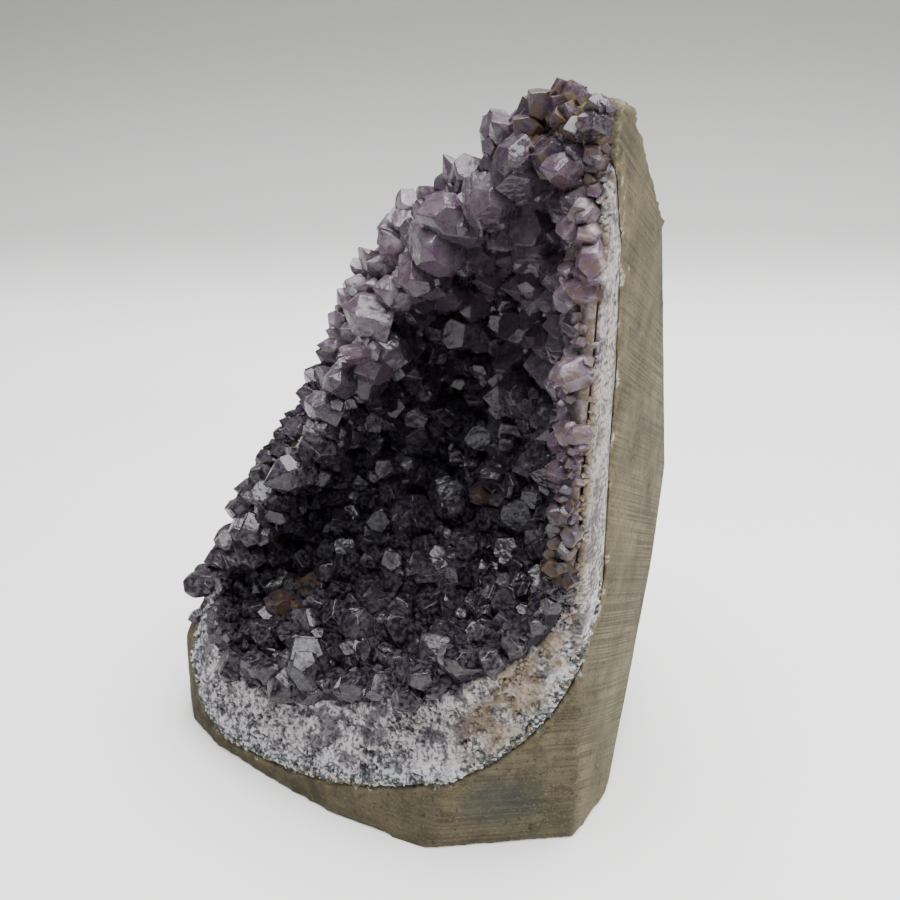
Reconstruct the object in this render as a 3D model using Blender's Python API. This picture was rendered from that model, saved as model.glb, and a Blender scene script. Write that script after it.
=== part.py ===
"""Cut-base amethyst geode: basalt matrix, quartz band, druse and separate amethyst crystals.

A piece of geode wall stands on a sawn base. +Z is up, -Y is the front, where the lip is, and +X
is the sawn right face. The cavity opens towards the front, the left and a little up. The origin
is on the sawn base, near its middle. The tables below are in millimetres, and everything else is
in metres: MM turns one into the other.
"""

import math
import random

import bmesh
import bpy
import numpy as np
from mathutils import Matrix, Vector

MM = 0.001
GAP = 0.3 * MM

# Plan outlines of the sawn and ground rock at rising heights: height, then its (x, y) corners.
ROCK_STATIONS = [
    (0, [(-50, -12), (-45, -18), (-34, -24), (-14, -29), (1, -32), (22, -32.5), (48, -17),
         (50, -2), (40, 24), (8, 36), (-27, 28), (-47, 6)]),
    (20, [(-48.5, -13), (-43, -18), (-32, -22.5), (-14, -27), (1, -29.5), (22, -30.5),
          (48.5, -18), (49, 8), (37, 36), (5, 45), (-30, 35), (-47, 10)]),
    (42, [(-38, -9), (-28, -15), (-14, -20), (1, -24), (24, -27), (48.5, -20.5),
          (49, 26), (36, 43), (5, 50), (-24, 38), (-37, 12)]),
    (62, [(-27, -3), (2, -17), (30, -23.5), (48.5, -22), (48.5, 33), (34, 46), (8, 50), (-14, 40),
          (-27, 18)]),
    (84, [(-14, 2), (48.5, -23), (48.5, 25), (34, 41), (12, 46), (-6, 38), (-17, 20)]),
    (104, [(-4, 4), (48.5, -22.5), (48.5, 19), (32, 33), (14, 37), (0, 30), (-7, 17)]),
    (120, [(8, 3), (48.5, -21), (48.5, 13.5), (34, 23), (20, 26), (6, 17)]),
    (132, [(21, -3), (48.5, -19), (48.5, 1.5), (34, 13), (19, 9)]),
    (140, [(32, -11), (48.5, -17.5), (48.5, -7.5), (36, 2), (30, -3)]),
    (144.5, [(42, -15), (48.5, -16), (48.5, -13.5)]),
]

# Where the cavity leaves the rock, going round from the middle of the right rim: x, y, z, and
# the width of the quartz band inside that line.
RIM_STATIONS = [
    (50.5, -22, 88, 4.0), (50.5, -21, 66, 4.5), (49.5, -20, 49, 9.5), (42, -20, 31, 19.5),
    (30, -26, 19.5, 21.5), (15, -28, 12.5, 21), (0, -28, 8, 20), (-15, -26, 5, 20), (-28, -23, 3.5, 20),
    (-38, -19, 6, 18), (-44, -15, 15, 14), (-43, -12, 27, 6), (-37, -8.5, 41, 3), (-28, -4, 57, 2.5),
    (-18, 0, 74, 2.5), (-8, 3, 95, 2.5), (3.5, 3, 113, 2.5), (17, -1, 126, 2.5),
    (30, -9, 136, 2.5), (41, -14, 141, 3.0), (49, -18, 133, 4.0), (50.5, -21, 110, 4.0),
]
RIM_SAMPLES = 48
BOWL_RINGS = 7
BOWL_POWER = 2.1

# The cavity's own frame: its middle in the opening, the way it faces, and the way it deepens.
OPENING_MIDDLE = Vector((10, -8, 70)) * MM
OPENING_AXIS = Vector((-0.474, -0.858, 0.199)).normalized()
HOLLOW_AXIS = Vector((-0.06, 0.99, 0.12)).normalized()
FORWARD_REACH = 60 * MM

ROCK_DEPTH = 36 * MM
QUARTZ_THICKNESS = 5 * MM
DRUSE_THICKNESS = 4 * MM

# The druse is a carpet of intergrown points, one on each cell of the spread-out bowl.
CELL_PITCH = 7.6 * MM
CELL_JITTER = 0.2
SPREAD = 1.3
CELLS_PAST_RIM = 12 * MM
CLIP_SIDES = 24
POINT_HEIGHTS = (2.0 * MM, 3.8 * MM)
POINT_LIMIT = 0.93
SEED = 11

# Crystals of their own inside the bowl, each rooted in a bare cell.
BOWL_CRYSTALS = 36
CRYSTAL_SPACING = 10.5 * MM
MOST_CRYSTAL_RADIUS = 3.5 * MM
CRYSTAL_ROOT = 1.2 * MM
CRYSTAL_TILT = 0.16
CRYSTAL_LIMIT = 0.78

# Crystals on the left rim and the crown, which lean out past the rock: how far round the rim
# stations each stands, its radius, and how far outside the rim its foot is, in millimetres.
RIM_CRYSTALS = [
    (10.9, 3.0, -0.5), (11.6, 3.4, 0), (12.25, 3.2, 0), (12.9, 3.6, 0.5), (13.5, 3.2, -1),
    (14.0, 3.0, -1.5), (14.6, 3.6, 0.5), (15.2, 4.2, 2), (15.8, 4.2, 2), (16.4, 3.6, 0),
    (17.0, 3.4, -0.5), (17.6, 3.4, 0.5), (18.2, 3.6, 1.5), (18.8, 3.4, 1.5),
]
RIM_LEAN = 0.6
RIM_CRYSTAL_SLENDERNESS = 2.1

MATERIALS = {
    "basalt": ((0.30, 0.27, 0.21), 0.85),
    "quartz": ((0.62, 0.60, 0.62), 0.60),
    "amethyst": ((0.13, 0.09, 0.18), 0.25),
    "pale_amethyst": ((0.38, 0.28, 0.42), 0.25),
}


def clear_scene():
    """Removes what the startup scene holds."""
    for obj in list(bpy.data.objects):
        bpy.data.objects.remove(obj)


def material(name):
    """The named finish, made once."""
    made = bpy.data.materials.get(name)
    if made:
        return made
    colour, roughness = MATERIALS[name]
    made = bpy.data.materials.new(name)
    made.use_nodes = True
    shader = made.node_tree.nodes["Principled BSDF"]
    shader.inputs["Base Color"].default_value = (*colour, 1)
    shader.inputs["Roughness"].default_value = roughness
    shader.inputs["Metallic"].default_value = 0
    return made


def add_object(name, bm, finish):
    """Turns a closed bmesh into a named object with one material."""
    bmesh.ops.recalc_face_normals(bm, faces=bm.faces)
    mesh = bpy.data.meshes.new(name)
    bm.to_mesh(mesh)
    bm.free()
    mesh.materials.append(material(finish))
    obj = bpy.data.objects.new(name, mesh)
    bpy.context.scene.collection.objects.link(obj)
    return obj


def add_cutter(name, bm):
    """A helper solid, kept out of the part."""
    obj = add_object(name, bm, "basalt")
    obj.hide_render = True
    obj.display_type = "WIRE"
    return obj


def combine(obj, other, operation):
    """Puts a live Boolean with another solid on an object."""
    modifier = obj.modifiers.new(f"{operation.lower()}_{other.name}", "BOOLEAN")
    modifier.operation = operation
    modifier.solver = "EXACT"
    modifier.object = other


def rock_body():
    """The rock with no cavity: the hull of its outlines."""
    bm = bmesh.new()
    for height, outline in ROCK_STATIONS:
        for x, y in outline:
            bm.verts.new(Vector((x, y, height)) * MM)
    hull = bmesh.ops.convex_hull(bm, input=bm.verts)
    inside = {v for v in hull["geom_interior"] if isinstance(v, bmesh.types.BMVert)}
    bmesh.ops.delete(bm, geom=list(inside), context="VERTS")
    bmesh.ops.recalc_face_normals(bm, faces=bm.faces)
    return bm


def between(stations, at):
    """Values at a fractional station of a closed row, on a smooth curve through the stations."""
    count = len(stations)
    whole = math.floor(at)
    share = at - whole
    before, start, end, after = (
        Vector(stations[(whole + step) % count]) for step in (-1, 0, 1, 2)
    )
    return 0.5 * (
        2 * start
        + (end - before) * share
        + (2 * before - 5 * start + 4 * end - after) * share**2
        + (3 * start - before - 3 * end + after) * share**3
    )


def opening_frame():
    """The cavity's frame as a matrix: +Z out of the opening, +Y up in its plane."""
    out = OPENING_AXIS
    across = Vector((0, 0, 1)).cross(out).normalized()
    turn = Matrix((across, out.cross(across), out)).transposed().to_4x4()
    return Matrix.Translation(OPENING_MIDDLE) @ turn


class Bowl:
    """A surface of the cavity: a rim round the opening, and a rounded hollow behind it."""

    def __init__(self, band_share, inset, depth):
        to_local = opening_frame().inverted()
        rim = []
        for sample in range(4 * RIM_SAMPLES):
            x, y, z, band = between(RIM_STATIONS, sample * len(RIM_STATIONS) / (4 * RIM_SAMPLES))
            local = to_local @ (Vector((x, y, z)) * MM)
            width = math.hypot(local.x, local.y) - band_share * band * MM - inset
            rim.append((math.atan2(local.y, local.x), width, local.z))
        rim.sort()
        self.angles, self.widths, self.heights = np.array(rim).T
        self.depth = depth
        self.to_world = opening_frame()

    def width(self, angle):
        """How far the rim is from the opening's middle."""
        return float(np.interp(angle, self.angles, self.widths, period=math.tau))

    def point(self, angle, climb, forward=0):
        """A point of the hollow: climb is 0 at the rim and a right angle at the deepest point."""
        width = self.width(angle)
        height = float(np.interp(angle, self.angles, self.heights, period=math.tau))
        flat, deep = math.cos(climb), math.sin(climb)
        reach = (flat / width) ** BOWL_POWER + (deep / self.depth) ** BOWL_POWER
        reach **= -1 / BOWL_POWER
        away = reach * flat
        lift = height * flat**2
        level = self.to_world @ Vector((away * math.cos(angle), away * math.sin(angle), lift))
        return level + HOLLOW_AXIS * (reach * deep - forward)

    def spread_point(self, u, v):
        """The point of the hollow at a place of the spread-out bowl, (0, 0) at the deepest."""
        angle = math.atan2(v, u)
        edge = SPREAD * self.width(angle)
        away = math.hypot(u, v)
        climb = max(0, 1 - away / edge) * math.radians(90)
        return self.point(angle, climb, max(0, away - edge))


def carry_forward(bm):
    """Closes a bowl's surface: its edge goes straight out of the opening and gets a flat cap."""
    edge = [e for e in bm.edges if e.is_boundary]
    made = bmesh.ops.extrude_edge_only(bm, edges=edge)["geom"]
    for vert in [v for v in made if isinstance(v, bmesh.types.BMVert)]:
        behind = (vert.co - OPENING_MIDDLE).dot(HOLLOW_AXIS)
        vert.co -= HOLLOW_AXIS * (behind + FORWARD_REACH)
    bmesh.ops.holes_fill(bm, edges=[e for e in bm.edges if e.is_boundary])
    bmesh.ops.recalc_face_normals(bm, faces=bm.faces)


def grow(bm, distance):
    """Moves every face of a closed bmesh outwards by a distance."""
    for vert in bm.verts:
        vert.normal_update()
    moves = [vert.normal * vert.calc_shell_factor() * distance for vert in bm.verts]
    for vert, move in zip(bm.verts, moves):
        vert.co += move


def smooth_cutter(name, bowl):
    """A cutter with the smooth surface of a bowl."""
    bm = bmesh.new()
    rings = []
    for ring in range(BOWL_RINGS):
        climb = math.radians(90) * ring / BOWL_RINGS
        rings.append([
            bm.verts.new(bowl.point(math.tau * i / RIM_SAMPLES - math.pi, climb))
            for i in range(RIM_SAMPLES)
        ])
    for outer, inner in zip(rings, rings[1:]):
        for i in range(RIM_SAMPLES):
            j = (i + 1) % RIM_SAMPLES
            bm.faces.new((outer[i], outer[j], inner[j], inner[i]))
    deepest = bm.verts.new(bowl.point(0, math.radians(90)))
    for i in range(RIM_SAMPLES):
        bm.faces.new((rings[-1][i], rings[-1][(i + 1) % RIM_SAMPLES], deepest))
    carry_forward(bm)
    bmesh.ops.triangulate(bm, faces=[f for f in bm.faces if len(f.verts) == 4], quad_method="FIXED")
    return add_cutter(name, bm)


def cell_seeds(reach):
    """Slightly wandering points on a triangular lattice, by column and row, and the last row."""
    rng = random.Random(SEED)
    last = math.ceil(reach / CELL_PITCH / math.sqrt(0.75)) + 2
    wander = CELL_JITTER * CELL_PITCH
    seeds = {}
    for row in range(-last, last + 1):
        for column in range(-last, last + 1):
            u = (column + 0.5 * (row % 2)) * CELL_PITCH + rng.uniform(-wander, wander)
            v = row * math.sqrt(0.75) * CELL_PITCH + rng.uniform(-wander, wander)
            seeds[column, row] = Vector((u, v, 0))
    return seeds, last


def cell_sheet(bowl):
    """A flat sheet of six-sided cells, a little uneven, clipped to the spread-out bowl."""
    seeds, last = cell_seeds(SPREAD * max(bowl.widths) + CELLS_PAST_RIM)
    bm = bmesh.new()
    corners = {}
    for column, row in seeds:
        if max(abs(column), abs(row)) == last:
            continue
        shift = row % 2
        ring = [
            (column + 1, row), (column + shift, row + 1), (column + shift - 1, row + 1),
            (column - 1, row), (column + shift - 1, row - 1), (column + shift, row - 1),
        ]
        cell = []
        for i in range(6):
            key = tuple(sorted(((column, row), ring[i], ring[(i + 1) % 6])))
            if key not in corners:
                corners[key] = bm.verts.new(sum((seeds[k] for k in key), Vector()) / 3)
            cell.append(corners[key])
        bm.faces.new(cell)
    clip_sheet(bm, bowl)
    return bm


def clip_sheet(bm, bowl):
    """Cuts a flat sheet to a many-sided outline a little outside the spread-out rim."""
    for side in range(CLIP_SIDES):
        turns = (math.tau * (side + step) / CLIP_SIDES - math.pi for step in (0, 1))
        start, end = (
            Vector((math.cos(a), math.sin(a), 0)) * (SPREAD * bowl.width(a) + CELLS_PAST_RIM)
            for a in turns
        )
        outward = (end - start).cross(Vector((0, 0, 1)))
        bmesh.ops.bisect_plane(
            bm, geom=bm.verts[:] + bm.edges[:] + bm.faces[:], dist=0.01 * MM,
            plane_co=start, plane_no=outward, clear_outer=True,
        )


def how_far_out(face, bowl):
    """A flat cell's distance from the deepest point, as a share of the rim's."""
    flat = face.calc_center_median()
    return flat.length / (SPREAD * bowl.width(math.atan2(flat.y, flat.x)))


def bare_cells(bm, bowl):
    """The cells that stay bare for a crystal of their own, well apart and inside the rim."""
    rng = random.Random(SEED + 1)
    order = [face for face in bm.faces if how_far_out(face, bowl) < CRYSTAL_LIMIT]
    rng.shuffle(order)
    chosen = []
    feet = []
    for face in order:
        flat = face.calc_center_median()
        foot = bowl.spread_point(flat.x, flat.y)
        apart = all((foot - other).length > CRYSTAL_SPACING for other in feet)
        if apart and len(chosen) < BOWL_CRYSTALS:
            chosen.append(face)
            feet.append(foot)
    return chosen


def druse_hollow(bowl):
    """The hollow inside the druse, with its points, and each bare cell's place and size."""
    bm = cell_sheet(bowl)
    bare = bare_cells(bm, bowl)
    flat = [face for face in bm.faces if face in bare or how_far_out(face, bowl) > POINT_LIMIT]
    for vert in bm.verts:
        vert.co = bowl.spread_point(vert.co.x, vert.co.y)
    bm.normal_update()
    if sum(face.normal.dot(OPENING_AXIS) for face in bare) < 0:
        bmesh.ops.reverse_faces(bm, faces=bm.faces)
        bm.normal_update()
    places = [(face.calc_center_median(), face.normal.copy(), face.calc_area()) for face in bare]
    rng = random.Random(SEED + 2)
    for face in list(bm.faces):
        size = 0 if face in flat else min(1, face.calc_area() / CELL_PITCH**2)
        bmesh.ops.poke(bm, faces=[face], offset=rng.uniform(*POINT_HEIGHTS) * size)
    carry_forward(bm)
    return bm, places


def add_crystal(name, base, axis, radius, length, finish, turn):
    """A six-sided crystal: a prism that narrows a little, and a six-faced point."""
    tip = 1.15 * radius
    prism = length - tip
    bm = bmesh.new()
    bmesh.ops.create_cone(
        bm, cap_ends=True, segments=6, radius1=radius, radius2=0.88 * radius, depth=prism,
        matrix=Matrix.Translation((0, 0, prism / 2)),
    )
    bm.normal_update()
    top = max(bm.faces, key=lambda face: face.calc_center_median().z)
    bmesh.ops.poke(bm, faces=[top], offset=tip)
    obj = add_object(name, bm, finish)
    obj.location = base
    obj.rotation_mode = "QUATERNION"
    spin = Matrix.Rotation(turn, 3, "Z").to_quaternion()
    obj.rotation_quaternion = axis.to_track_quat("Z", "Y") @ spin
    return obj


def tilted(axis, rng):
    """An axis leaned a little, a random way."""
    side = Vector([rng.uniform(-1, 1) for _ in range(3)])
    return (axis + side * CRYSTAL_TILT).normalized()


def add_bowl_crystals(places, room):
    """The separate crystals inside the bowl, one on each bare cell, trimmed to the hollow."""
    rng = random.Random(SEED + 3)
    for number, (centre, normal, area) in enumerate(places, 1):
        radius = min(MOST_CRYSTAL_RADIUS, 0.42 * math.sqrt(area))
        crystal = add_crystal(
            f"amethyst_crystal_{number:02d}", centre - normal * CRYSTAL_ROOT, tilted(normal, rng),
            radius, CRYSTAL_ROOT + radius * rng.uniform(1.9, 2.7), "amethyst",
            rng.uniform(0, math.radians(60)),
        )
        combine(crystal, room, "INTERSECT")


def add_rim_crystals(rock_and_gap):
    """The crystals on the left rim and the crown, trimmed to the rock they grow from."""
    rng = random.Random(SEED + 4)
    for number, (at, radius, overhang) in enumerate(RIM_CRYSTALS, 1):
        place = between(RIM_STATIONS, at).to_3d() * MM
        outward = (place - OPENING_MIDDLE).normalized()
        crystal = add_crystal(
            f"rim_crystal_{number:02d}", place + outward * overhang * MM,
            tilted(OPENING_AXIS + RIM_LEAN * outward, rng), radius * MM,
            RIM_CRYSTAL_SLENDERNESS * radius * MM, "pale_amethyst",
            rng.uniform(0, math.radians(60)),
        )
        combine(crystal, rock_and_gap, "DIFFERENCE")


def main():
    """Builds the rock, its layers from the outside in, and the crystals."""
    clear_scene()
    rock_hollow = smooth_cutter("rock_hollow", Bowl(0, 0, ROCK_DEPTH))
    rock = add_object("basalt_matrix", rock_body(), "basalt")
    combine(rock, rock_hollow, "DIFFERENCE")

    quartz_depth = ROCK_DEPTH - QUARTZ_THICKNESS
    quartz_space = smooth_cutter("quartz_space", Bowl(0, GAP, ROCK_DEPTH - GAP))
    quartz_hollow = smooth_cutter("quartz_hollow", Bowl(1, 0, quartz_depth))
    quartz = add_object("quartz_band", rock_body(), "quartz")
    combine(quartz, quartz_space, "INTERSECT")
    combine(quartz, quartz_hollow, "DIFFERENCE")

    druse_space = smooth_cutter("druse_space", Bowl(1, GAP, quartz_depth - GAP))
    druse_bowl = Bowl(1, DRUSE_THICKNESS, quartz_depth - DRUSE_THICKNESS)
    hollow, places = druse_hollow(druse_bowl)
    room = hollow.copy()
    druse = add_object("amethyst_druse", rock_body(), "amethyst")
    combine(druse, druse_space, "INTERSECT")
    combine(druse, add_cutter("druse_hollow", hollow), "DIFFERENCE")

    grow(room, -GAP)
    add_bowl_crystals(places, add_cutter("crystal_room", room))
    rock_and_gap = rock_body()
    grow(rock_and_gap, GAP)
    add_rim_crystals(add_cutter("rock_and_gap", rock_and_gap))


main()
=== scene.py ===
"""Looks of a cut-base amethyst geode: sawn basalt, a granular quartz band and a druse of crystals.

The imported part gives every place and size. Lengths named here are in millimetres, and MM turns
them into Blender's metres. +Z is up, -Y is the front, where the lip is, and +X is the sawn right
face. Each sub-assembly is a class that builds its pieces and dresses them.
"""

from __future__ import annotations

import logging
import math
import random
from collections.abc import Callable, Iterable, Sequence
from dataclasses import dataclass, field
from enum import Enum

import bpy
import numpy as np
from mathutils import Matrix, Vector, noise
from mathutils.bvhtree import BVHTree

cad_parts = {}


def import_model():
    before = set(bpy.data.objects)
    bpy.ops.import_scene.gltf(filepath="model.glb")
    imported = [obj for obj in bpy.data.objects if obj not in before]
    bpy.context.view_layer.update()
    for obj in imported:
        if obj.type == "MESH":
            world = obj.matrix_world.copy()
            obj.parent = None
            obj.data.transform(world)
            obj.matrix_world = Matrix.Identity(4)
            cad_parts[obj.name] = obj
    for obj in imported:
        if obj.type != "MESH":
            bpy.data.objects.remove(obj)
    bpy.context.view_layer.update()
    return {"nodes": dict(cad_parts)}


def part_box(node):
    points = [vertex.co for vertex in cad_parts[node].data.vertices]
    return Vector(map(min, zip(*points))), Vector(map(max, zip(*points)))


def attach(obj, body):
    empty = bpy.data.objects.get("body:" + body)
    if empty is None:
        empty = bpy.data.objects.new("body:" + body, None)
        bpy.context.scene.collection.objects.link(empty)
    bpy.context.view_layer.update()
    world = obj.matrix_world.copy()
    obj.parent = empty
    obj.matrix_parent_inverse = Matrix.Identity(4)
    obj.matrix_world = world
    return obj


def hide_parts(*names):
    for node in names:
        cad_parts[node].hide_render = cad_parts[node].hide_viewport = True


MM = 0.001
BODY = "root"
SEED = 20
log = logging.getLogger("geode")

Colour = tuple[float, float, float]


class Slot(Enum):
    """The material slots of the part's record."""

    BASALT = "basalt"
    QUARTZ = "quartz"
    AMETHYST = "amethyst"
    PALE = "pale_amethyst"


# ---------------------------------------------------------------------------------------------
# Modelling helpers
# ---------------------------------------------------------------------------------------------


def make_active(obj: bpy.types.Object) -> None:
    """Selects one object alone and makes it the active one."""
    bpy.ops.object.select_all(action="DESELECT")
    obj.select_set(True)
    bpy.context.view_layer.objects.active = obj


def edit(obj: bpy.types.Object) -> None:
    """Opens one object in edit mode with its whole mesh selected."""
    make_active(obj)
    bpy.ops.object.mode_set(mode="EDIT")
    bpy.ops.mesh.select_all(action="SELECT")


def leave_edit() -> None:
    """Goes back to object mode."""
    bpy.ops.object.mode_set(mode="OBJECT")


def apply_modifier(obj: bpy.types.Object, kind: str, **settings: object) -> None:
    """Puts a modifier on an object and applies it.

    Args:
        obj: The object to change.
        kind: Blender's name for the modifier type.
        settings: Values for the modifier's own properties.
    """
    make_active(obj)
    modifier = obj.modifiers.new(kind.lower(), kind)
    for name, value in settings.items():
        setattr(modifier, name, value)
    bpy.ops.object.modifier_apply(modifier=modifier.name)


def displace(
    obj: bpy.types.Object, kind: str, size: float, strength: float, group: str = "", **look: object
) -> None:
    """Roughens a mesh along its normals with one procedural texture.

    Args:
        obj: The object to roughen.
        kind: Blender's texture type, such as CLOUDS or VORONOI.
        size: The texture's feature size in millimetres.
        strength: The full height of the relief in millimetres.
        group: The vertex group that limits it, or nothing for the whole mesh.
        look: Values for the texture's own properties.
    """
    texture = bpy.data.textures.new(f"{obj.name}_{kind.lower()}", kind)
    texture.noise_scale = size * MM
    for name, value in look.items():
        setattr(texture, name, value)
    apply_modifier(
        obj, "DISPLACE", texture=texture, texture_coords="LOCAL", strength=strength * MM,
        mid_level=0.5, vertex_group=group,
    )


def places(obj: bpy.types.Object) -> np.ndarray:
    """The places of an object's vertices in millimetres, one row each."""
    found = np.empty(len(obj.data.vertices) * 3, np.float32)
    obj.data.vertices.foreach_get("co", found)
    return found.reshape(-1, 3).astype(float) / MM


def normals(obj: bpy.types.Object) -> np.ndarray:
    """The unit normals of an object's vertices, one row each."""
    found = np.empty(len(obj.data.vertices) * 3, np.float32)
    obj.data.vertex_normals.foreach_get("vector", found)
    return found.reshape(-1, 3).astype(float)


def set_values(obj: bpy.types.Object, name: str, values: np.ndarray, domain: str = "POINT") -> None:
    """Stores one number for each vertex or face, which a material reads by name."""
    stored = obj.data.attributes.get(name) or obj.data.attributes.new(name, "FLOAT", domain)
    stored.data.foreach_set("value", np.asarray(values, np.float32))


def set_group(obj: bpy.types.Object, name: str, weights: np.ndarray) -> None:
    """Stores a vertex group with one weight for each vertex."""
    group = obj.vertex_groups.new(name=name)
    for index in np.flatnonzero(weights > 0.01):
        group.add([int(index)], float(weights[index]), "REPLACE")


def smooth_step(values: np.ndarray | float, low: float, high: float) -> np.ndarray:
    """Rises from 0 at low to 1 at high, with no corner at either end."""
    share = np.clip((np.asarray(values, float) - low) / (high - low), 0, 1)
    return share * share * (3 - 2 * share)


def waves(spots: np.ndarray, size: float) -> np.ndarray:
    """Smooth noise from about -1 to 1 at each place, with features of this size."""
    return np.array([noise.noise(Vector(spot) / size) for spot in spots])


def copy_node(node: bpy.types.Object, name: str) -> bpy.types.Object:
    """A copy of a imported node's mesh as a new object, with its split corners merged."""
    obj = bpy.data.objects.new(name, node.data.copy())
    bpy.context.scene.collection.objects.link(obj)
    obj.data.materials.clear()
    edit(obj)
    bpy.ops.mesh.remove_doubles(threshold=0.01 * MM)
    leave_edit()
    return obj


def join(pieces: Sequence[bpy.types.Object], name: str) -> bpy.types.Object:
    """Joins objects into one piece with its own name."""
    bpy.ops.object.select_all(action="DESELECT")
    for piece in pieces:
        piece.select_set(True)
    bpy.context.view_layer.objects.active = pieces[0]
    bpy.ops.object.join()
    joined = bpy.context.view_layer.objects.active
    joined.name = name
    joined.data.name = name
    return joined


def finish_piece(obj: bpy.types.Object, material: bpy.types.Material) -> None:
    """Gives a piece its material and body, and reports it."""
    obj.data.materials.clear()
    obj.data.materials.append(material)
    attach(obj, BODY)
    log.info("%s: %d faces", obj.name, len(obj.data.polygons))


def unit(vector: Iterable[float]) -> Vector:
    """A vector made one long."""
    return Vector(vector).normalized()


@dataclass(frozen=True)
class Skin:
    """The surface of an object, for measuring how far off a place is."""

    tree: BVHTree

    @classmethod
    def of(cls, obj: bpy.types.Object) -> Skin:
        """Reads the surface of an object."""
        corners = [Vector(spot) for spot in places(obj)]
        return cls(BVHTree.FromPolygons(corners, [tuple(p.vertices) for p in obj.data.polygons]))

    def distances(self, spots: np.ndarray) -> np.ndarray:
        """The distance in millimetres from each place to the surface."""
        return np.array([self.tree.find_nearest(Vector(spot))[3] for spot in spots])

    def nearest(self, spots: np.ndarray) -> np.ndarray:
        """The surface's nearest point to each place."""
        return np.array([self.tree.find_nearest(Vector(spot))[0] for spot in spots])


# ---------------------------------------------------------------------------------------------
# Material helpers and shared effects
# ---------------------------------------------------------------------------------------------


@dataclass
class NodeSheet:
    """A node tree, with short ways to add nodes and join them."""

    tree: bpy.types.NodeTree

    def feed(self, socket: bpy.types.NodeSocket, source: object) -> None:
        """Links a socket to another, or sets its value."""
        if isinstance(source, bpy.types.NodeSocket):
            self.tree.links.new(source, socket)
        else:
            socket.default_value = source

    def node(self, kind: str, inputs: dict[str | int, object], **settings: object) -> bpy.types.Node:
        """Adds a node.

        Args:
            kind: The node's type, without its ShaderNode prefix.
            inputs: What feeds each of its inputs, by name or number.
            settings: Values for the node's own properties.

        Returns:
            The new node.
        """
        made = self.tree.nodes.new(f"ShaderNode{kind}")
        for name, value in settings.items():
            setattr(made, name, value)
        for name, source in inputs.items():
            self.feed(made.inputs[name], source)
        return made

    def math(self, operation: str, first: object, second: object = 0.0) -> bpy.types.NodeSocket:
        """The result of one sum on two numbers, kept from 0 up where the operation says so."""
        return self.node("Math", {0: first, 1: second}, operation=operation).outputs[0]

    def rise(self, value: object, low: object, high: object) -> bpy.types.NodeSocket:
        """A smooth mask that is 0 up to low and 1 from high."""
        inputs = {"Value": value, "From Min": low, "From Max": high}
        return self.node("MapRange", inputs, interpolation_type="SMOOTHSTEP").outputs[0]

    def mix(
        self, share: object, first: object, second: object, blend: str = "MIX"
    ) -> bpy.types.NodeSocket:
        """Two colours mixed by a share."""
        first = (*first, 1) if isinstance(first, tuple) else first
        second = (*second, 1) if isinstance(second, tuple) else second
        inputs = {0: share, 6: first, 7: second}
        return self.node("Mix", inputs, data_type="RGBA", blend_type=blend).outputs[2]

    def clouds(self, place: object, size: object, detail: float = 3.0) -> bpy.types.NodeSocket:
        """Soft noise from 0 to 1 with features of this size in millimetres."""
        scale = self.math("DIVIDE", 1.0, size)
        inputs = {"Vector": place, "Scale": scale, "Detail": detail}
        return self.node("TexNoise", inputs).outputs["Fac"]

    def stored(self, name: str) -> bpy.types.NodeSocket:
        """A number stored on the mesh."""
        return self.node("Attribute", {}, attribute_name=name).outputs["Fac"]

    def millimetres(self) -> bpy.types.NodeSocket:
        """The place on the piece, in millimetres."""
        place = self.node("TexCoord", {}).outputs["Object"]
        inputs = {0: place, 1: (1 / MM, 1 / MM, 1 / MM)}
        return self.node("VectorMath", inputs, operation="MULTIPLY").outputs[0]

    def axes(self, place: object) -> list[bpy.types.NodeSocket]:
        """The X, Y and Z of a place."""
        return list(self.node("SeparateXYZ", {0: place}).outputs)

    def effect(self, name: str, inputs: dict[str, object]) -> bpy.types.Node:
        """Puts a shared effect in the material with its own values."""
        made = self.tree.nodes.new("ShaderNodeGroup")
        made.node_tree = bpy.data.node_groups[name]
        for key, source in inputs.items():
            self.feed(made.inputs[key], source)
        return made


def shared_effect(
    name: str,
    inputs: dict[str, float | None],
    outputs: Sequence[str],
    draw: Callable[[NodeSheet, dict[str, bpy.types.NodeSocket]], Sequence[bpy.types.NodeSocket]],
) -> None:
    """Builds a shader node group.

    Args:
        name: The group's name.
        inputs: Its inputs with their defaults, None for a place.
        outputs: The names of its outputs, all numbers.
        draw: Fills the group and gives what feeds each output.
    """
    tree = bpy.data.node_groups.new(name, "ShaderNodeTree")
    for key, default in inputs.items():
        kind = "NodeSocketVector" if default is None else "NodeSocketFloat"
        socket = tree.interface.new_socket(key, in_out="INPUT", socket_type=kind)
        if default is not None:
            socket.default_value = default
    for key in outputs:
        tree.interface.new_socket(key, in_out="OUTPUT", socket_type="NodeSocketFloat")
    sheet = NodeSheet(tree)
    entry = tree.nodes.new("NodeGroupInput")
    leaving = tree.nodes.new("NodeGroupOutput")
    results = draw(sheet, {key: entry.outputs[key] for key in inputs})
    for key, source in zip(outputs, results):
        sheet.feed(leaving.inputs[key], source)


def draw_mottling(sheet: NodeSheet, given: dict) -> list[bpy.types.NodeSocket]:
    """Broad soft patches, sharpened between two levels."""
    level = sheet.clouds(given["Place"], given["Size"], 5)
    return [sheet.rise(level, given["Low"], given["High"])]


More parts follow.
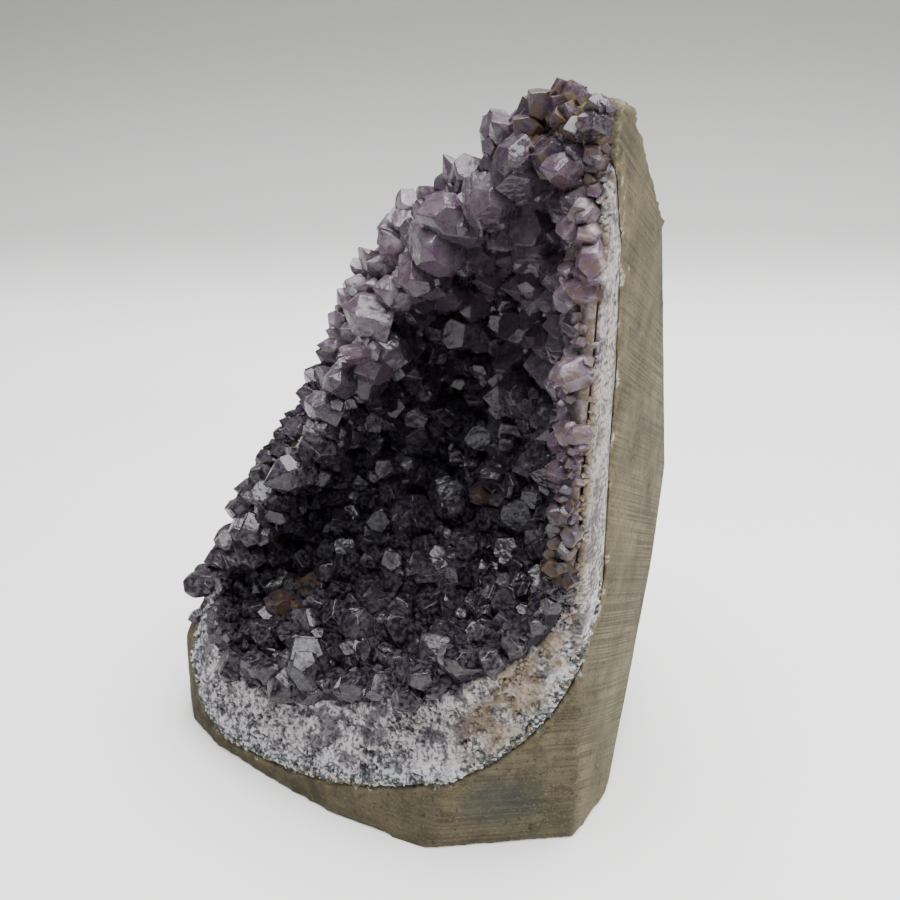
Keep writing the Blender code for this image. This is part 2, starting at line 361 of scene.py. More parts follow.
def draw_speckle(sheet: NodeSheet, given: dict) -> list[bpy.types.NodeSocket]:
    """Separate specks: a share of small cells, each with a soft edge."""
    scale = sheet.math("DIVIDE", 1.0, given["Size"])
    cells = sheet.node("TexVoronoi", {"Vector": given["Place"], "Scale": scale})
    chance = sheet.axes(cells.outputs["Color"])[0]
    picked = sheet.math("LESS_THAN", chance, given["Share"])
    core = sheet.math("SUBTRACT", 1.0, sheet.rise(cells.outputs["Distance"], 0.3, 0.62))
    return [sheet.math("MULTIPLY", picked, core)]


def draw_saw_marks(sheet: NodeSheet, given: dict) -> list[bpy.types.NodeSocket]:
    """Fine straight lines left by a saw, level or sloping towards the back."""
    x, y, z = sheet.axes(given["Place"])
    across = sheet.math("ADD", z, sheet.math("MULTIPLY", y, given["Slope"]))
    long_way = sheet.math("DIVIDE", sheet.math("ADD", x, y), 60.0)
    line = sheet.math("DIVIDE", across, given["Spacing"])
    place = sheet.node("CombineXYZ", {0: long_way, 1: sheet.math("DIVIDE", x, 60.0), 2: line})
    fine = sheet.clouds(place.outputs[0], 1.0, 3)
    broad = sheet.clouds(place.outputs[0], 3.0, 3)
    marks = sheet.math("ADD", sheet.math("MULTIPLY", fine, 0.82), sheet.math("MULTIPLY", broad, 0.18))
    return [sheet.rise(marks, 0.40, 0.58), marks]


def draw_frost_and_sheen_film(sheet: NodeSheet, given: dict) -> list[bpy.types.NodeSocket]:
    """A thin uneven film, thickest where the mesh says so."""
    patchy = sheet.clouds(given["Place"], 1.4, 4)
    broad = sheet.clouds(given["Place"], 9.0, 2)
    film = sheet.math("ADD", patchy, sheet.math("MULTIPLY", broad, 0.6))
    film = sheet.math("ADD", film, sheet.math("MULTIPLY", given["Amount"], 0.7))
    return [sheet.rise(film, 1.05, 1.75)]


def draw_ragged_line(sheet: NodeSheet, given: dict) -> list[bpy.types.NodeSocket]:
    """How far a place is past a line that wanders to both sides of a joint."""
    wander = sheet.math("SUBTRACT", sheet.clouds(given["Place"], 3.4, 4), 0.5)
    wander = sheet.math("MULTIPLY", wander, given["Swing"])
    return [sheet.math("SUBTRACT", given["Distance"], wander)]


def build_shared_effects() -> None:
    """Builds every effect that more than one material uses."""
    shared_effect(
        "Mottling", {"Place": None, "Size": 10.0, "Low": 0.4, "High": 0.6}, ["Mask"], draw_mottling
    )
    shared_effect("Speckle", {"Place": None, "Size": 1.0, "Share": 0.2}, ["Mask"], draw_speckle)
    shared_effect(
        "Saw marks", {"Place": None, "Spacing": 1.0, "Slope": 0.0}, ["Mark", "Height"], draw_saw_marks
    )
    shared_effect("Frost and sheen film", {"Place": None, "Amount": 0.5}, ["Film"], draw_frost_and_sheen_film)
    shared_effect(
        "Ragged line", {"Place": None, "Distance": 0.0, "Swing": 8.0}, ["Past"], draw_ragged_line
    )


def new_material(name: str) -> tuple[bpy.types.Material, NodeSheet, bpy.types.Node]:
    """An empty node material with its Principled shader."""
    material = bpy.data.materials.new(name)
    material.use_nodes = True
    return material, NodeSheet(material.node_tree), material.node_tree.nodes["Principled BSDF"]


# ---------------------------------------------------------------------------------------------
# Finishes
# ---------------------------------------------------------------------------------------------


@dataclass(frozen=True)
class BasaltFinish:
    """Olive grey-brown basalt: sawn and ground in front, a rough rind behind."""

    dark: Colour = (0.032, 0.028, 0.020)
    light: Colour = (0.138, 0.118, 0.070)
    worn: Colour = (0.185, 0.162, 0.105)
    rind: Colour = (0.036, 0.030, 0.019)
    weathered: Colour = (0.082, 0.068, 0.040)
    speck: Colour = (0.020, 0.017, 0.012)
    blue_patch: Colour = (0.032, 0.040, 0.041)
    skin: Colour = (0.030, 0.041, 0.036)
    crust: Colour = (0.30, 0.295, 0.29)
    ochre: Colour = (0.155, 0.115, 0.060)
    blue_patch_at: tuple[float, float, float] = (35, -26, 12)

    def build(self) -> bpy.types.Material:
        """Builds the material."""
        material, sheet, shader = new_material("basalt_stone")
        place = sheet.millimetres()
        z = sheet.axes(place)[2]
        sawn, edge = sheet.stored("sawn"), sheet.stored("edge")

        level = sheet.effect("Saw marks", {"Place": place, "Spacing": 0.45, "Slope": 0.02})
        steep = sheet.effect("Saw marks", {"Place": place, "Spacing": 0.5, "Slope": 0.55})
        right = sheet.stored("right")
        mark = self.share(sheet, right, level.outputs["Mark"], steep.outputs["Mark"])
        relief = self.share(sheet, right, level.outputs["Height"], steep.outputs["Height"])

        tone = sheet.effect("Mottling", {"Place": place, "Size": 12.0, "Low": 0.25, "High": 0.65})
        colour = sheet.mix(tone.outputs[0], self.dark, self.light)
        grain = sheet.clouds(place, 0.9, 4)
        colour = sheet.mix(sheet.rise(grain, 0.40, 0.72), colour, self.light)
        # Darker towards the bottom of the faces other than the right one.
        darker_low = sheet.math("SUBTRACT", 1.0, sheet.rise(z, 4.0, 36.0))
        darker_low = sheet.math("MULTIPLY", darker_low, sheet.math("SUBTRACT", 1.0, right))
        colour = sheet.mix(sheet.math("MULTIPLY", darker_low, 0.35), colour, self.dark)
        grime = sheet.effect("Mottling", {"Place": place, "Size": 4.0, "Low": 0.42, "High": 0.62})
        grime = sheet.math("MULTIPLY", grime.outputs[0], sheet.math("SUBTRACT", 0.5, sheet.math("MULTIPLY", right, 0.3)))
        colour = sheet.mix(grime, colour, self.dark)
        grit = sheet.effect("Mottling", {"Place": place, "Size": 0.6, "Low": 0.5, "High": 0.62})
        grit = sheet.math("MULTIPLY", grit.outputs[0], sheet.math("SUBTRACT", 0.24, sheet.math("MULTIPLY", right, 0.14)))
        colour = sheet.mix(grit, colour, self.worn)
        streak = sheet.math("MULTIPLY", sheet.math("SUBTRACT", 1.0, mark), sawn)
        fresh = sheet.effect("Mottling", {"Place": place, "Size": 13.0, "Low": 0.35, "High": 0.65})
        streak = sheet.math("MULTIPLY", streak, sheet.math("ADD", fresh.outputs[0], 0.35))
        depth = sheet.math("ADD", 0.42, sheet.math("MULTIPLY", right, 0.1))
        colour = sheet.mix(sheet.math("MULTIPLY", streak, depth), colour, self.dark)
        upper = sheet.math("MULTIPLY", sheet.rise(z, 92.0, 116.0), 0.22)
        colour = sheet.mix(upper, colour, self.dark)
        natural = sheet.math("SUBTRACT", 1.0, sawn)
        rough = sheet.effect("Mottling", {"Place": place, "Size": 3.0, "Low": 0.36, "High": 0.66})
        weathered = sheet.mix(rough.outputs[0], self.rind, self.weathered)
        broad = sheet.effect("Mottling", {"Place": place, "Size": 26.0, "Low": 0.3, "High": 0.7})
        weathered = sheet.mix(sheet.math("MULTIPLY", broad.outputs[0], 0.35), weathered, self.light)
        colour = sheet.mix(sheet.math("MULTIPLY", natural, 0.85), colour, weathered)
        specks = sheet.effect("Mottling", {"Place": place, "Size": 0.9, "Low": 0.56, "High": 0.72})
        colour = sheet.mix(sheet.math("MULTIPLY", specks.outputs[0], 0.75), colour, self.speck)
        pale = sheet.effect("Mottling", {"Place": place, "Size": 0.7, "Low": 0.62, "High": 0.72})
        colour = sheet.mix(sheet.math("MULTIPLY", pale.outputs[0], 0.55), colour, self.worn)
        away = sheet.node("VectorMath", {0: place, 1: self.blue_patch_at}, operation="DISTANCE")
        away = sheet.math("ADD", away.outputs["Value"], sheet.math("MULTIPLY", grain, 6.0))
        patch = sheet.math("SUBTRACT", 1.0, sheet.rise(away, 5.0, 13.0))
        colour = sheet.mix(sheet.math("MULTIPLY", patch, 0.45), colour, self.blue_patch)
        line = sheet.effect(
            "Ragged line", {"Place": place, "Distance": sheet.stored("seam"), "Swing": -9.0}
        ).outputs[0]
        rim = sheet.math("SUBTRACT", 1.0, sheet.rise(line, 0.5, 1.3))
        colour = sheet.mix(sheet.math("MULTIPLY", rim, 0.45), colour, self.ochre)
        quartz = sheet.math("SUBTRACT", 1.0, sheet.rise(line, -0.2, 0.1))
        low = sheet.math("SUBTRACT", 1.0, sheet.rise(z, 46.0, 62.0))
        film = sheet.math("MULTIPLY", sheet.math("SUBTRACT", 1.0, sheet.rise(line, 0.0, 0.4)), low)
        colour = sheet.mix(sheet.math("MULTIPLY", film, 0.8), colour, self.skin)
        crumbs = sheet.math("MULTIPLY", quartz, sheet.rise(grain, 0.44, 0.54))
        colour = sheet.mix(crumbs, colour, self.crust)
        wear = sheet.math("MULTIPLY", edge, sheet.rise(grain, 0.25, 0.6))
        colour = sheet.mix(sheet.math("MULTIPLY", wear, 0.65), colour, self.worn)

        sheet.feed(shader.inputs["Base Color"], colour)
        matt = sheet.math("ADD", 0.74, sheet.math("MULTIPLY", grain, 0.25))
        sheet.feed(shader.inputs["Roughness"], matt)
        height = sheet.math("MULTIPLY", sheet.math("MULTIPLY", relief, sawn), 0.6)
        height = sheet.math("ADD", height, sheet.math("MULTIPLY", grain, 0.35))
        height = sheet.math("SUBTRACT", height, sheet.math("MULTIPLY", specks.outputs[0], 0.3))
        bump = sheet.node("Bump", {"Height": height, "Distance": 0.25 * MM, "Strength": 0.8})
        sheet.feed(shader.inputs["Normal"], bump.outputs[0])
        shader.inputs["Specular IOR Level"].default_value = 0.15
        return material

    @staticmethod
    def share(sheet: NodeSheet, share: object, first: object, second: object) -> object:
        """Two numbers mixed by a share."""
        return sheet.node("Mix", {0: share, 2: first, 3: second}, data_type="FLOAT").outputs[0]


@dataclass(frozen=True)
class QuartzFinish:
    """Granular white to lavender quartz with dark flecks, tan stains and a green-grey skin."""

    white: Colour = (0.46, 0.46, 0.48)
    cream: Colour = (0.44, 0.40, 0.40)
    grey: Colour = (0.115, 0.109, 0.124)
    fleck: Colour = (0.028, 0.024, 0.034)
    tan: Colour = (0.19, 0.140, 0.085)
    rock: Colour = (0.085, 0.070, 0.040)
    skin: Colour = (0.026, 0.036, 0.032)

    def build(self) -> bpy.types.Material:
        """Builds the material."""
        material, sheet, shader = new_material("quartz_granular")
        place = sheet.millimetres()
        seam, shade = sheet.stored("seam"), sheet.stored("shade")
        height_up = sheet.axes(place)[2]
        grain = sheet.clouds(place, 0.75, 3)
        fibre = sheet.node(
            "CombineXYZ", {0: sheet.stored("along"), 1: sheet.math("DIVIDE", seam, 2.6)}
        )
        streak = sheet.clouds(fibre.outputs[0], 0.62, 3)
        level = sheet.math("ADD", sheet.math("MULTIPLY", grain, 0.5), sheet.math("MULTIPLY", streak, 0.5))
        level = sheet.math("ADD", level, sheet.math("MULTIPLY", shade, 0.12))
        patches = sheet.clouds(place, 4.2, 3)
        level = sheet.math("ADD", level, sheet.math("MULTIPLY", patches, 0.35))
        inner = sheet.rise(sheet.math("ADD", seam, sheet.math("MULTIPLY", patches, 5.0)), 6.5, 11.0)
        pale = sheet.mix(inner, self.white, self.cream)
        pale = sheet.mix(sheet.math("MULTIPLY", sheet.rise(height_up, 50.0, 75.0), 0.5), pale, self.tan)
        colour = sheet.mix(sheet.rise(level, 0.66, 0.80), self.grey, pale)
        dark = sheet.math("SUBTRACT", 1.0, sheet.rise(level, 0.58, 0.66))
        voids = sheet.effect("Mottling", {"Place": place, "Size": 4.6, "Low": 0.53, "High": 0.60})
        voids = sheet.math("MULTIPLY", voids.outputs[0], sheet.rise(seam, 2.5, 6.0))
        dark = sheet.math("MAXIMUM", dark, sheet.math("MULTIPLY", voids, 0.85))
        colour = sheet.mix(sheet.math("MULTIPLY", dark, 0.9), colour, self.fleck)
        stains = sheet.effect("Mottling", {"Place": place, "Size": 5.0, "Low": 0.32, "High": 0.56})
        tan = sheet.math("MULTIPLY", sheet.stored("stain"), stains.outputs[0])
        colour = sheet.mix(sheet.math("MULTIPLY", tan, 0.75), colour, self.tan)
        line = sheet.effect("Ragged line", {"Place": place, "Distance": seam, "Swing": 9.0}).outputs[0]
        low = sheet.math("SUBTRACT", 1.0, sheet.rise(height_up, 46.0, 62.0))
        film = sheet.math("SUBTRACT", 1.0, sheet.rise(line, 1.0, 4.0))
        film = sheet.math("MULTIPLY", film, low)
        film = sheet.math("MULTIPLY", film, sheet.math("SUBTRACT", 1.0, sheet.rise(level, 0.70, 0.84)))
        colour = sheet.mix(sheet.math("MULTIPLY", film, 0.85), colour, self.skin)
        rocky = sheet.math("SUBTRACT", 1.0, sheet.rise(line, -0.1, 0.2))
        colour = sheet.mix(sheet.math("MULTIPLY", rocky, 0.9), colour, self.rock)
        sheet.feed(shader.inputs["Base Color"], colour)
        gloss = sheet.math("SUBTRACT", 0.78, sheet.math("MULTIPLY", sheet.rise(grain, 0.5, 0.7), 0.4))
        sheet.feed(shader.inputs["Roughness"], gloss)
        height = sheet.math("ADD", grain, sheet.math("MULTIPLY", streak, 0.8))
        height = sheet.math("SUBTRACT", height, sheet.math("MULTIPLY", dark, 0.8))
        bump = sheet.node("Bump", {"Height": height, "Distance": 0.35 * MM, "Strength": 0.9})
        sheet.feed(shader.inputs["Normal"], bump.outputs[0])
        shader.inputs["Specular IOR Level"].default_value = 0.3
        return material


@dataclass(frozen=True)
class AmethystFinish:
    """Amethyst crystals: dark violet in the cavity, lilac and frosted towards the rims, with painted shade low
    in the cavity, painted light up high and a painted sheen on facets that face up.
    """

    name: str = "amethyst_crystal"
    deep: Colour = (0.0036, 0.0013, 0.0064)
    grey: Colour = (0.030, 0.016, 0.038)
    lilac: Colour = (0.165, 0.097, 0.155)
    milk: Colour = (0.46, 0.40, 0.42)
    frost_and_sheen: Colour = (0.050, 0.042, 0.058)
    crust: Colour = (0.13, 0.122, 0.134)
    rust: Colour = (0.115, 0.068, 0.026)
    clarity: float = 0.46

    def build(self) -> bpy.types.Material:
        """Builds the material."""
        material, sheet, shader = new_material(self.name)
        place = sheet.millimetres()
        tip, pale, shade = (sheet.stored(name) for name in ("tip", "pale", "shade"))
        zones = sheet.clouds(place, 2.4, 3)
        body = sheet.math("ADD", shade, sheet.math("SUBTRACT", zones, 0.5))
        colour = sheet.mix(sheet.rise(body, 0.25, 1.1), self.deep, self.grey)
        # Painted shade: crystals low in the cavity are mixed towards the deep colour.
        low = sheet.math("SUBTRACT", 1.0, sheet.rise(sheet.axes(place)[2], 34.0, 80.0))
        colour = sheet.mix(sheet.math("MULTIPLY", low, 0.5), colour, self.deep)
        # The pale number mixes in lilac; its rise in the upper cavity is painted light.
        colour = sheet.mix(pale, colour, self.lilac)
        milky = sheet.math("MULTIPLY", sheet.rise(pale, 0.45, 1.0), sheet.rise(zones, 0.45, 0.68))
        colour = sheet.mix(sheet.math("MULTIPLY", milky, 0.8), colour, self.milk)
        # The frost film is random etching plus a painted sheen: facets that face up carry more of it, as if
        # lit from above.
        film = sheet.effect("Frost and sheen film", {"Place": place, "Amount": sheet.stored("dust")}).outputs[0]
        # Painted shade: less frost film low in the cavity keeps those crystals darker.
        share = sheet.math("SUBTRACT", 0.5, sheet.math("MULTIPLY", low, 0.36))
        colour = sheet.mix(sheet.math("MULTIPLY", film, share), colour, self.frost_and_sheen)
        crumbs = sheet.clouds(place, 0.9, 4)
        chipped = sheet.math("MULTIPLY", sheet.stored("edge"), sheet.rise(crumbs, 0.42, 0.6))
        colour = sheet.mix(sheet.math("MULTIPLY", chipped, 0.5), colour, self.crust)
        stain = sheet.effect("Mottling", {"Place": place, "Size": 2.2, "Low": 0.42, "High": 0.6})
        stain = sheet.math("MULTIPLY", stain.outputs[0], sheet.stored("rust"))
        colour = sheet.mix(sheet.math("MULTIPLY", stain, 0.85), colour, self.rust)
        sheet.feed(shader.inputs["Base Color"], colour)
        matt = sheet.math("ADD", 0.2, sheet.math("MULTIPLY", film, 0.35))
        matt = sheet.math("ADD", matt, sheet.math("MULTIPLY", low, 0.05))
        matt = sheet.math("ADD", matt, sheet.math("MULTIPLY", stain, 0.3))
        sheet.feed(shader.inputs["Roughness"], matt)
        rings = sheet.node("CombineXYZ", {2: sheet.math("MULTIPLY", tip, 26.0)}).outputs[0]
        height = sheet.math("MULTIPLY", sheet.clouds(rings, 1.0, 2), 0.12)
        height = sheet.math("ADD", height, sheet.math("MULTIPLY", film, 0.10))
        height = sheet.math("ADD", height, sheet.clouds(place, 2.6, 2))
        height = sheet.math("ADD", height, sheet.math("MULTIPLY", crumbs, 0.12))
        bump = sheet.node("Bump", {"Height": height, "Distance": 0.62 * MM, "Strength": 0.8})
        sheet.feed(shader.inputs["Normal"], bump.outputs[0])
        shader.inputs["IOR"].default_value = 1.55
        shader.inputs["Specular IOR Level"].default_value = 0.2
        shader.inputs["Transmission Weight"].default_value = self.clarity
        return material


@dataclass(frozen=True)
class DruseGroundFinish:
    """The dark intergrown mass between the crystals."""

    deep: Colour = (0.004, 0.002, 0.006)
    violet: Colour = (0.016, 0.009, 0.022)
    tan: Colour = (0.17, 0.125, 0.075)
    pink: Colour = (0.30, 0.25, 0.26)

    def build(self) -> bpy.types.Material:
        """Builds the material."""
        material, sheet, shader = new_material("druse_ground")
        place = sheet.millimetres()
        tone = sheet.effect("Mottling", {"Place": place, "Size": 4.0, "Low": 0.35, "High": 0.7})
        specks = sheet.effect("Speckle", {"Place": place, "Size": 1.6, "Share": 0.25})
        level = sheet.math("ADD", sheet.math("MULTIPLY", tone.outputs[0], 0.5), specks.outputs[0])
        colour = sheet.mix(level, self.deep, self.violet)
        crust = sheet.mix(sheet.rise(sheet.clouds(place, 1.3, 4), 0.42, 0.6), self.tan, self.pink)
        at_cut = sheet.rise(sheet.axes(place)[0], 45.0, 47.5)
        colour = sheet.mix(sheet.math("MULTIPLY", at_cut, 0.85), colour, crust)
        sheet.feed(shader.inputs["Base Color"], colour)
        sheet.feed(shader.inputs["Roughness"], sheet.math("ADD", 0.3, sheet.clouds(place, 1.5)))
        bump = sheet.node("Bump", {"Height": sheet.clouds(place, 1.2, 4), "Distance": 0.4 * MM})
        sheet.feed(shader.inputs["Normal"], bump.outputs[0])
        return material


@dataclass(frozen=True)
class SeamFinish:
    """Dull crumbs of green-grey celadonite, white quartz and ochre rock."""

    dark: Colour = (0.020, 0.028, 0.024)
    light: Colour = (0.085, 0.095, 0.085)
    white: Colour = (0.38, 0.37, 0.37)
    ochre: Colour = (0.16, 0.125, 0.070)

    def build(self) -> bpy.types.Material:
        """Builds the material."""
        material, sheet, shader = new_material("celadonite")
        place = sheet.millimetres()
        grain = sheet.clouds(place, 0.7, 4)
        kind = sheet.stored("kind")
        colour = sheet.mix(sheet.rise(grain, 0.4, 0.65), self.dark, self.light)
        colour = sheet.mix(sheet.math("GREATER_THAN", kind, 0.38), colour, self.ochre)
        colour = sheet.mix(sheet.math("GREATER_THAN", kind, 0.66), colour, self.white)
        sheet.feed(shader.inputs["Base Color"], colour)
        sheet.feed(shader.inputs["Roughness"], sheet.math("ADD", 0.7, sheet.math("MULTIPLY", grain, 0.3)))
        bump = sheet.node("Bump", {"Height": grain, "Distance": 0.2 * MM})
        sheet.feed(shader.inputs["Normal"], bump.outputs[0])
        return material


@dataclass(frozen=True)
class PaperFinish:
    """Pale studio paper, with painted shade that darkens it up the sweep."""

    light: Colour = (0.80, 0.795, 0.785)
    dark: Colour = (0.775, 0.77, 0.76)
    falloff_shade: Colour = (0.165, 0.163, 0.159)

    def build(self) -> bpy.types.Material:
        """Builds the material."""
        material, sheet, shader = new_material("studio_paper")
        place = sheet.millimetres()
        tone = sheet.effect("Mottling", {"Place": place, "Size": 160.0, "Low": 0.3, "High": 0.7})
        colour = sheet.mix(tone.outputs[0], self.light, self.dark)
        # Painted shade: the paper darkens with height up the sweep, standing for light falling off.
        z = sheet.axes(place)[2]
        painted_falloff = sheet.math("ADD", sheet.math("MULTIPLY", sheet.rise(z, 0.0, 42.0), 0.62),
                            sheet.math("MULTIPLY", sheet.rise(z, 0.0, 140.0), 0.38))
        sheet.feed(shader.inputs["Base Color"], sheet.mix(painted_falloff, colour, self.falloff_shade))
        sheet.feed(shader.inputs["Roughness"], sheet.math("ADD", 0.6, sheet.clouds(place, 3.0)))
        return material


# ---------------------------------------------------------------------------------------------
# The stone
# ---------------------------------------------------------------------------------------------


@dataclass
class BasaltBody:
    """The rock: sawn faces with ground edges and chips, and a rough rind behind."""

    voxel: float = 0.95
    smoothing: int = 5
    edge_reach: int = 14
    right_face_from: float = 47.5
    rind_relief: float = 2.0

    def build(self, node: bpy.types.Object, quartz: Skin) -> bpy.types.Object:
        """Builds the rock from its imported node.

        Args:
            node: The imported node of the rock.
            quartz: The surface of the quartz layer inside it.

        Returns:
            The finished mesh object.
        """
        obj = copy_node(node, "basalt_body")
        apply_modifier(obj, "REMESH", mode="VOXEL", voxel_size=self.voxel * MM)
        sharp = places(obj)
        apply_modifier(obj, "SMOOTH", factor=0.5, iterations=self.edge_reach)
        soft = places(obj)
        facing = normals(obj)
        edge = smooth_step(((sharp - soft) * facing).sum(1), 0.12, 0.5)
        obj.data.vertices.foreach_set("co", (sharp * MM).astype(np.float32).ravel())
        apply_modifier(obj, "SMOOTH", factor=0.5, iterations=self.smoothing)

        right = smooth_step(facing[:, 0], 0.75, 0.92) * smooth_step(sharp[:, 0], 46, 48)
        front = smooth_step(facing[:, 0] * 0.62 - facing[:, 1] * 0.78, 0.55, 0.9)
        base = smooth_step(-facing[:, 2], 0.8, 0.95)
        sawn = np.clip(right + front + base, 0, 1)
        low_front = smooth_step(-facing[:, 1] - 0.5 * facing[:, 0], -0.2, 0.4)
        rind = np.clip(1 - sawn - low_front, 0, 1) * smooth_step(sharp[:, 2], 1.5, 8)
        chips = edge * smooth_step(waves(sharp, 5.0) + 0.6 * waves(sharp, 2.2), 0.12, 0.5)
        chips *= smooth_step(sharp[:, 2], 0.4, 1.5)
        set_group(obj, "rind", rind)
        set_group(obj, "chips", chips)
        set_group(obj, "ground", np.clip(1 - base - 0.75 * right, 0, 1))
        set_values(obj, "edge", edge)
        set_values(obj, "sawn", sawn)
        set_values(obj, "right", right)
        set_values(obj, "seam", quartz.distances(sharp))

        displace(obj, "CLOUDS", 26, 0.7, "ground")
        displace(obj, "CLOUDS", 9, self.rind_relief, "rind", noise_depth=3)
        displace(obj, "VORONOI", 5, 1.3, "rind")
        displace(obj, "CLOUDS", 2.6, 0.9, "rind", noise_depth=3)
        displace(obj, "CLOUDS", 3, 0.3, "ground", noise_depth=2)
        self.chip(obj, chips)
        make_active(obj)
        bpy.ops.object.shade_smooth()
        return obj

    @staticmethod
    def chip(obj: bpy.types.Object, chips: np.ndarray) -> None:
        """Pushes the chipped stretches of the edges in."""
        texture = bpy.data.textures.new("chips", "CLOUDS")
        texture.noise_scale = 3 * MM
        apply_modifier(
            obj, "DISPLACE", texture=texture, texture_coords="LOCAL", strength=-1.5 * MM,
            mid_level=0.1, vertex_group="chips",
        )


@dataclass
class QuartzBand:
    """The quartz layer: granular where it shows, with numbers for its own streaks and stains."""

    voxel: float = 0.8
    relief: float = 1.8
    stain_from: float = 22.0
    middle: Vector = field(default_factory=Vector)

    def build(self, node: bpy.types.Object, basalt: Skin, druse: Skin) -> bpy.types.Object:
        """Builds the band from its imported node.

        Args:
            node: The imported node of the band.
            basalt: The surface of the rock outside it.
            druse: The surface of the crystal layer inside it.

        Returns:
            The finished mesh object.
        """
        obj = copy_node(node, "quartz_layer")
        apply_modifier(obj, "REMESH", mode="VOXEL", voxel_size=self.voxel * MM)
        apply_modifier(obj, "SMOOTH", factor=0.5, iterations=2)
        spots, facing = places(obj), normals(obj)
        seam, inner = basalt.distances(spots), druse.distances(spots)
        shown = smooth_step(seam, 0.3, 2.0) * smooth_step(inner, 0.3, 1.1)
        sawn = smooth_step(facing[:, 0], 0.7, 0.9) * smooth_step(spots[:, 0], 46, 48)
        set_group(obj, "shown", shown * (1 - 0.85 * sawn))
        set_group(obj, "proud", np.clip(shown + smooth_step(inner, 0.2, 0.6), 0, 1))
        around = np.arctan2(spots[:, 2] - self.middle.z, spots[:, 0] - self.middle.x)
        set_values(obj, "along", around * 45)
        set_values(obj, "seam", seam)
        set_values(obj, "shade", np.full(len(spots), 0.5))
        low_right = smooth_step(spots[:, 0], self.stain_from, self.stain_from + 14)
        set_values(obj, "stain", low_right * (1 - 0.7 * sawn) * smooth_step(seam, 0.5, 4))
        apply_modifier(
            obj, "DISPLACE", strength=0.2 * MM, mid_level=0.0, vertex_group="proud",
        )
        displace(obj, "CLOUDS", 6, 2.0, "shown", noise_depth=2)
        displace(obj, "VORONOI", 2.6, self.relief, "shown")
        displace(obj, "STUCCI", 1.2, 0.8, "shown")
        make_active(obj)
        bpy.ops.object.shade_smooth()
        return obj


# ---------------------------------------------------------------------------------------------
# Crystals
# ---------------------------------------------------------------------------------------------


class Habit(Enum):
    """How a crystal ends."""

    EVEN = "even"
    UNEQUAL = "unequal"
    CHISEL = "chisel"
    BROKEN = "broken"
    STEPPED = "stepped"


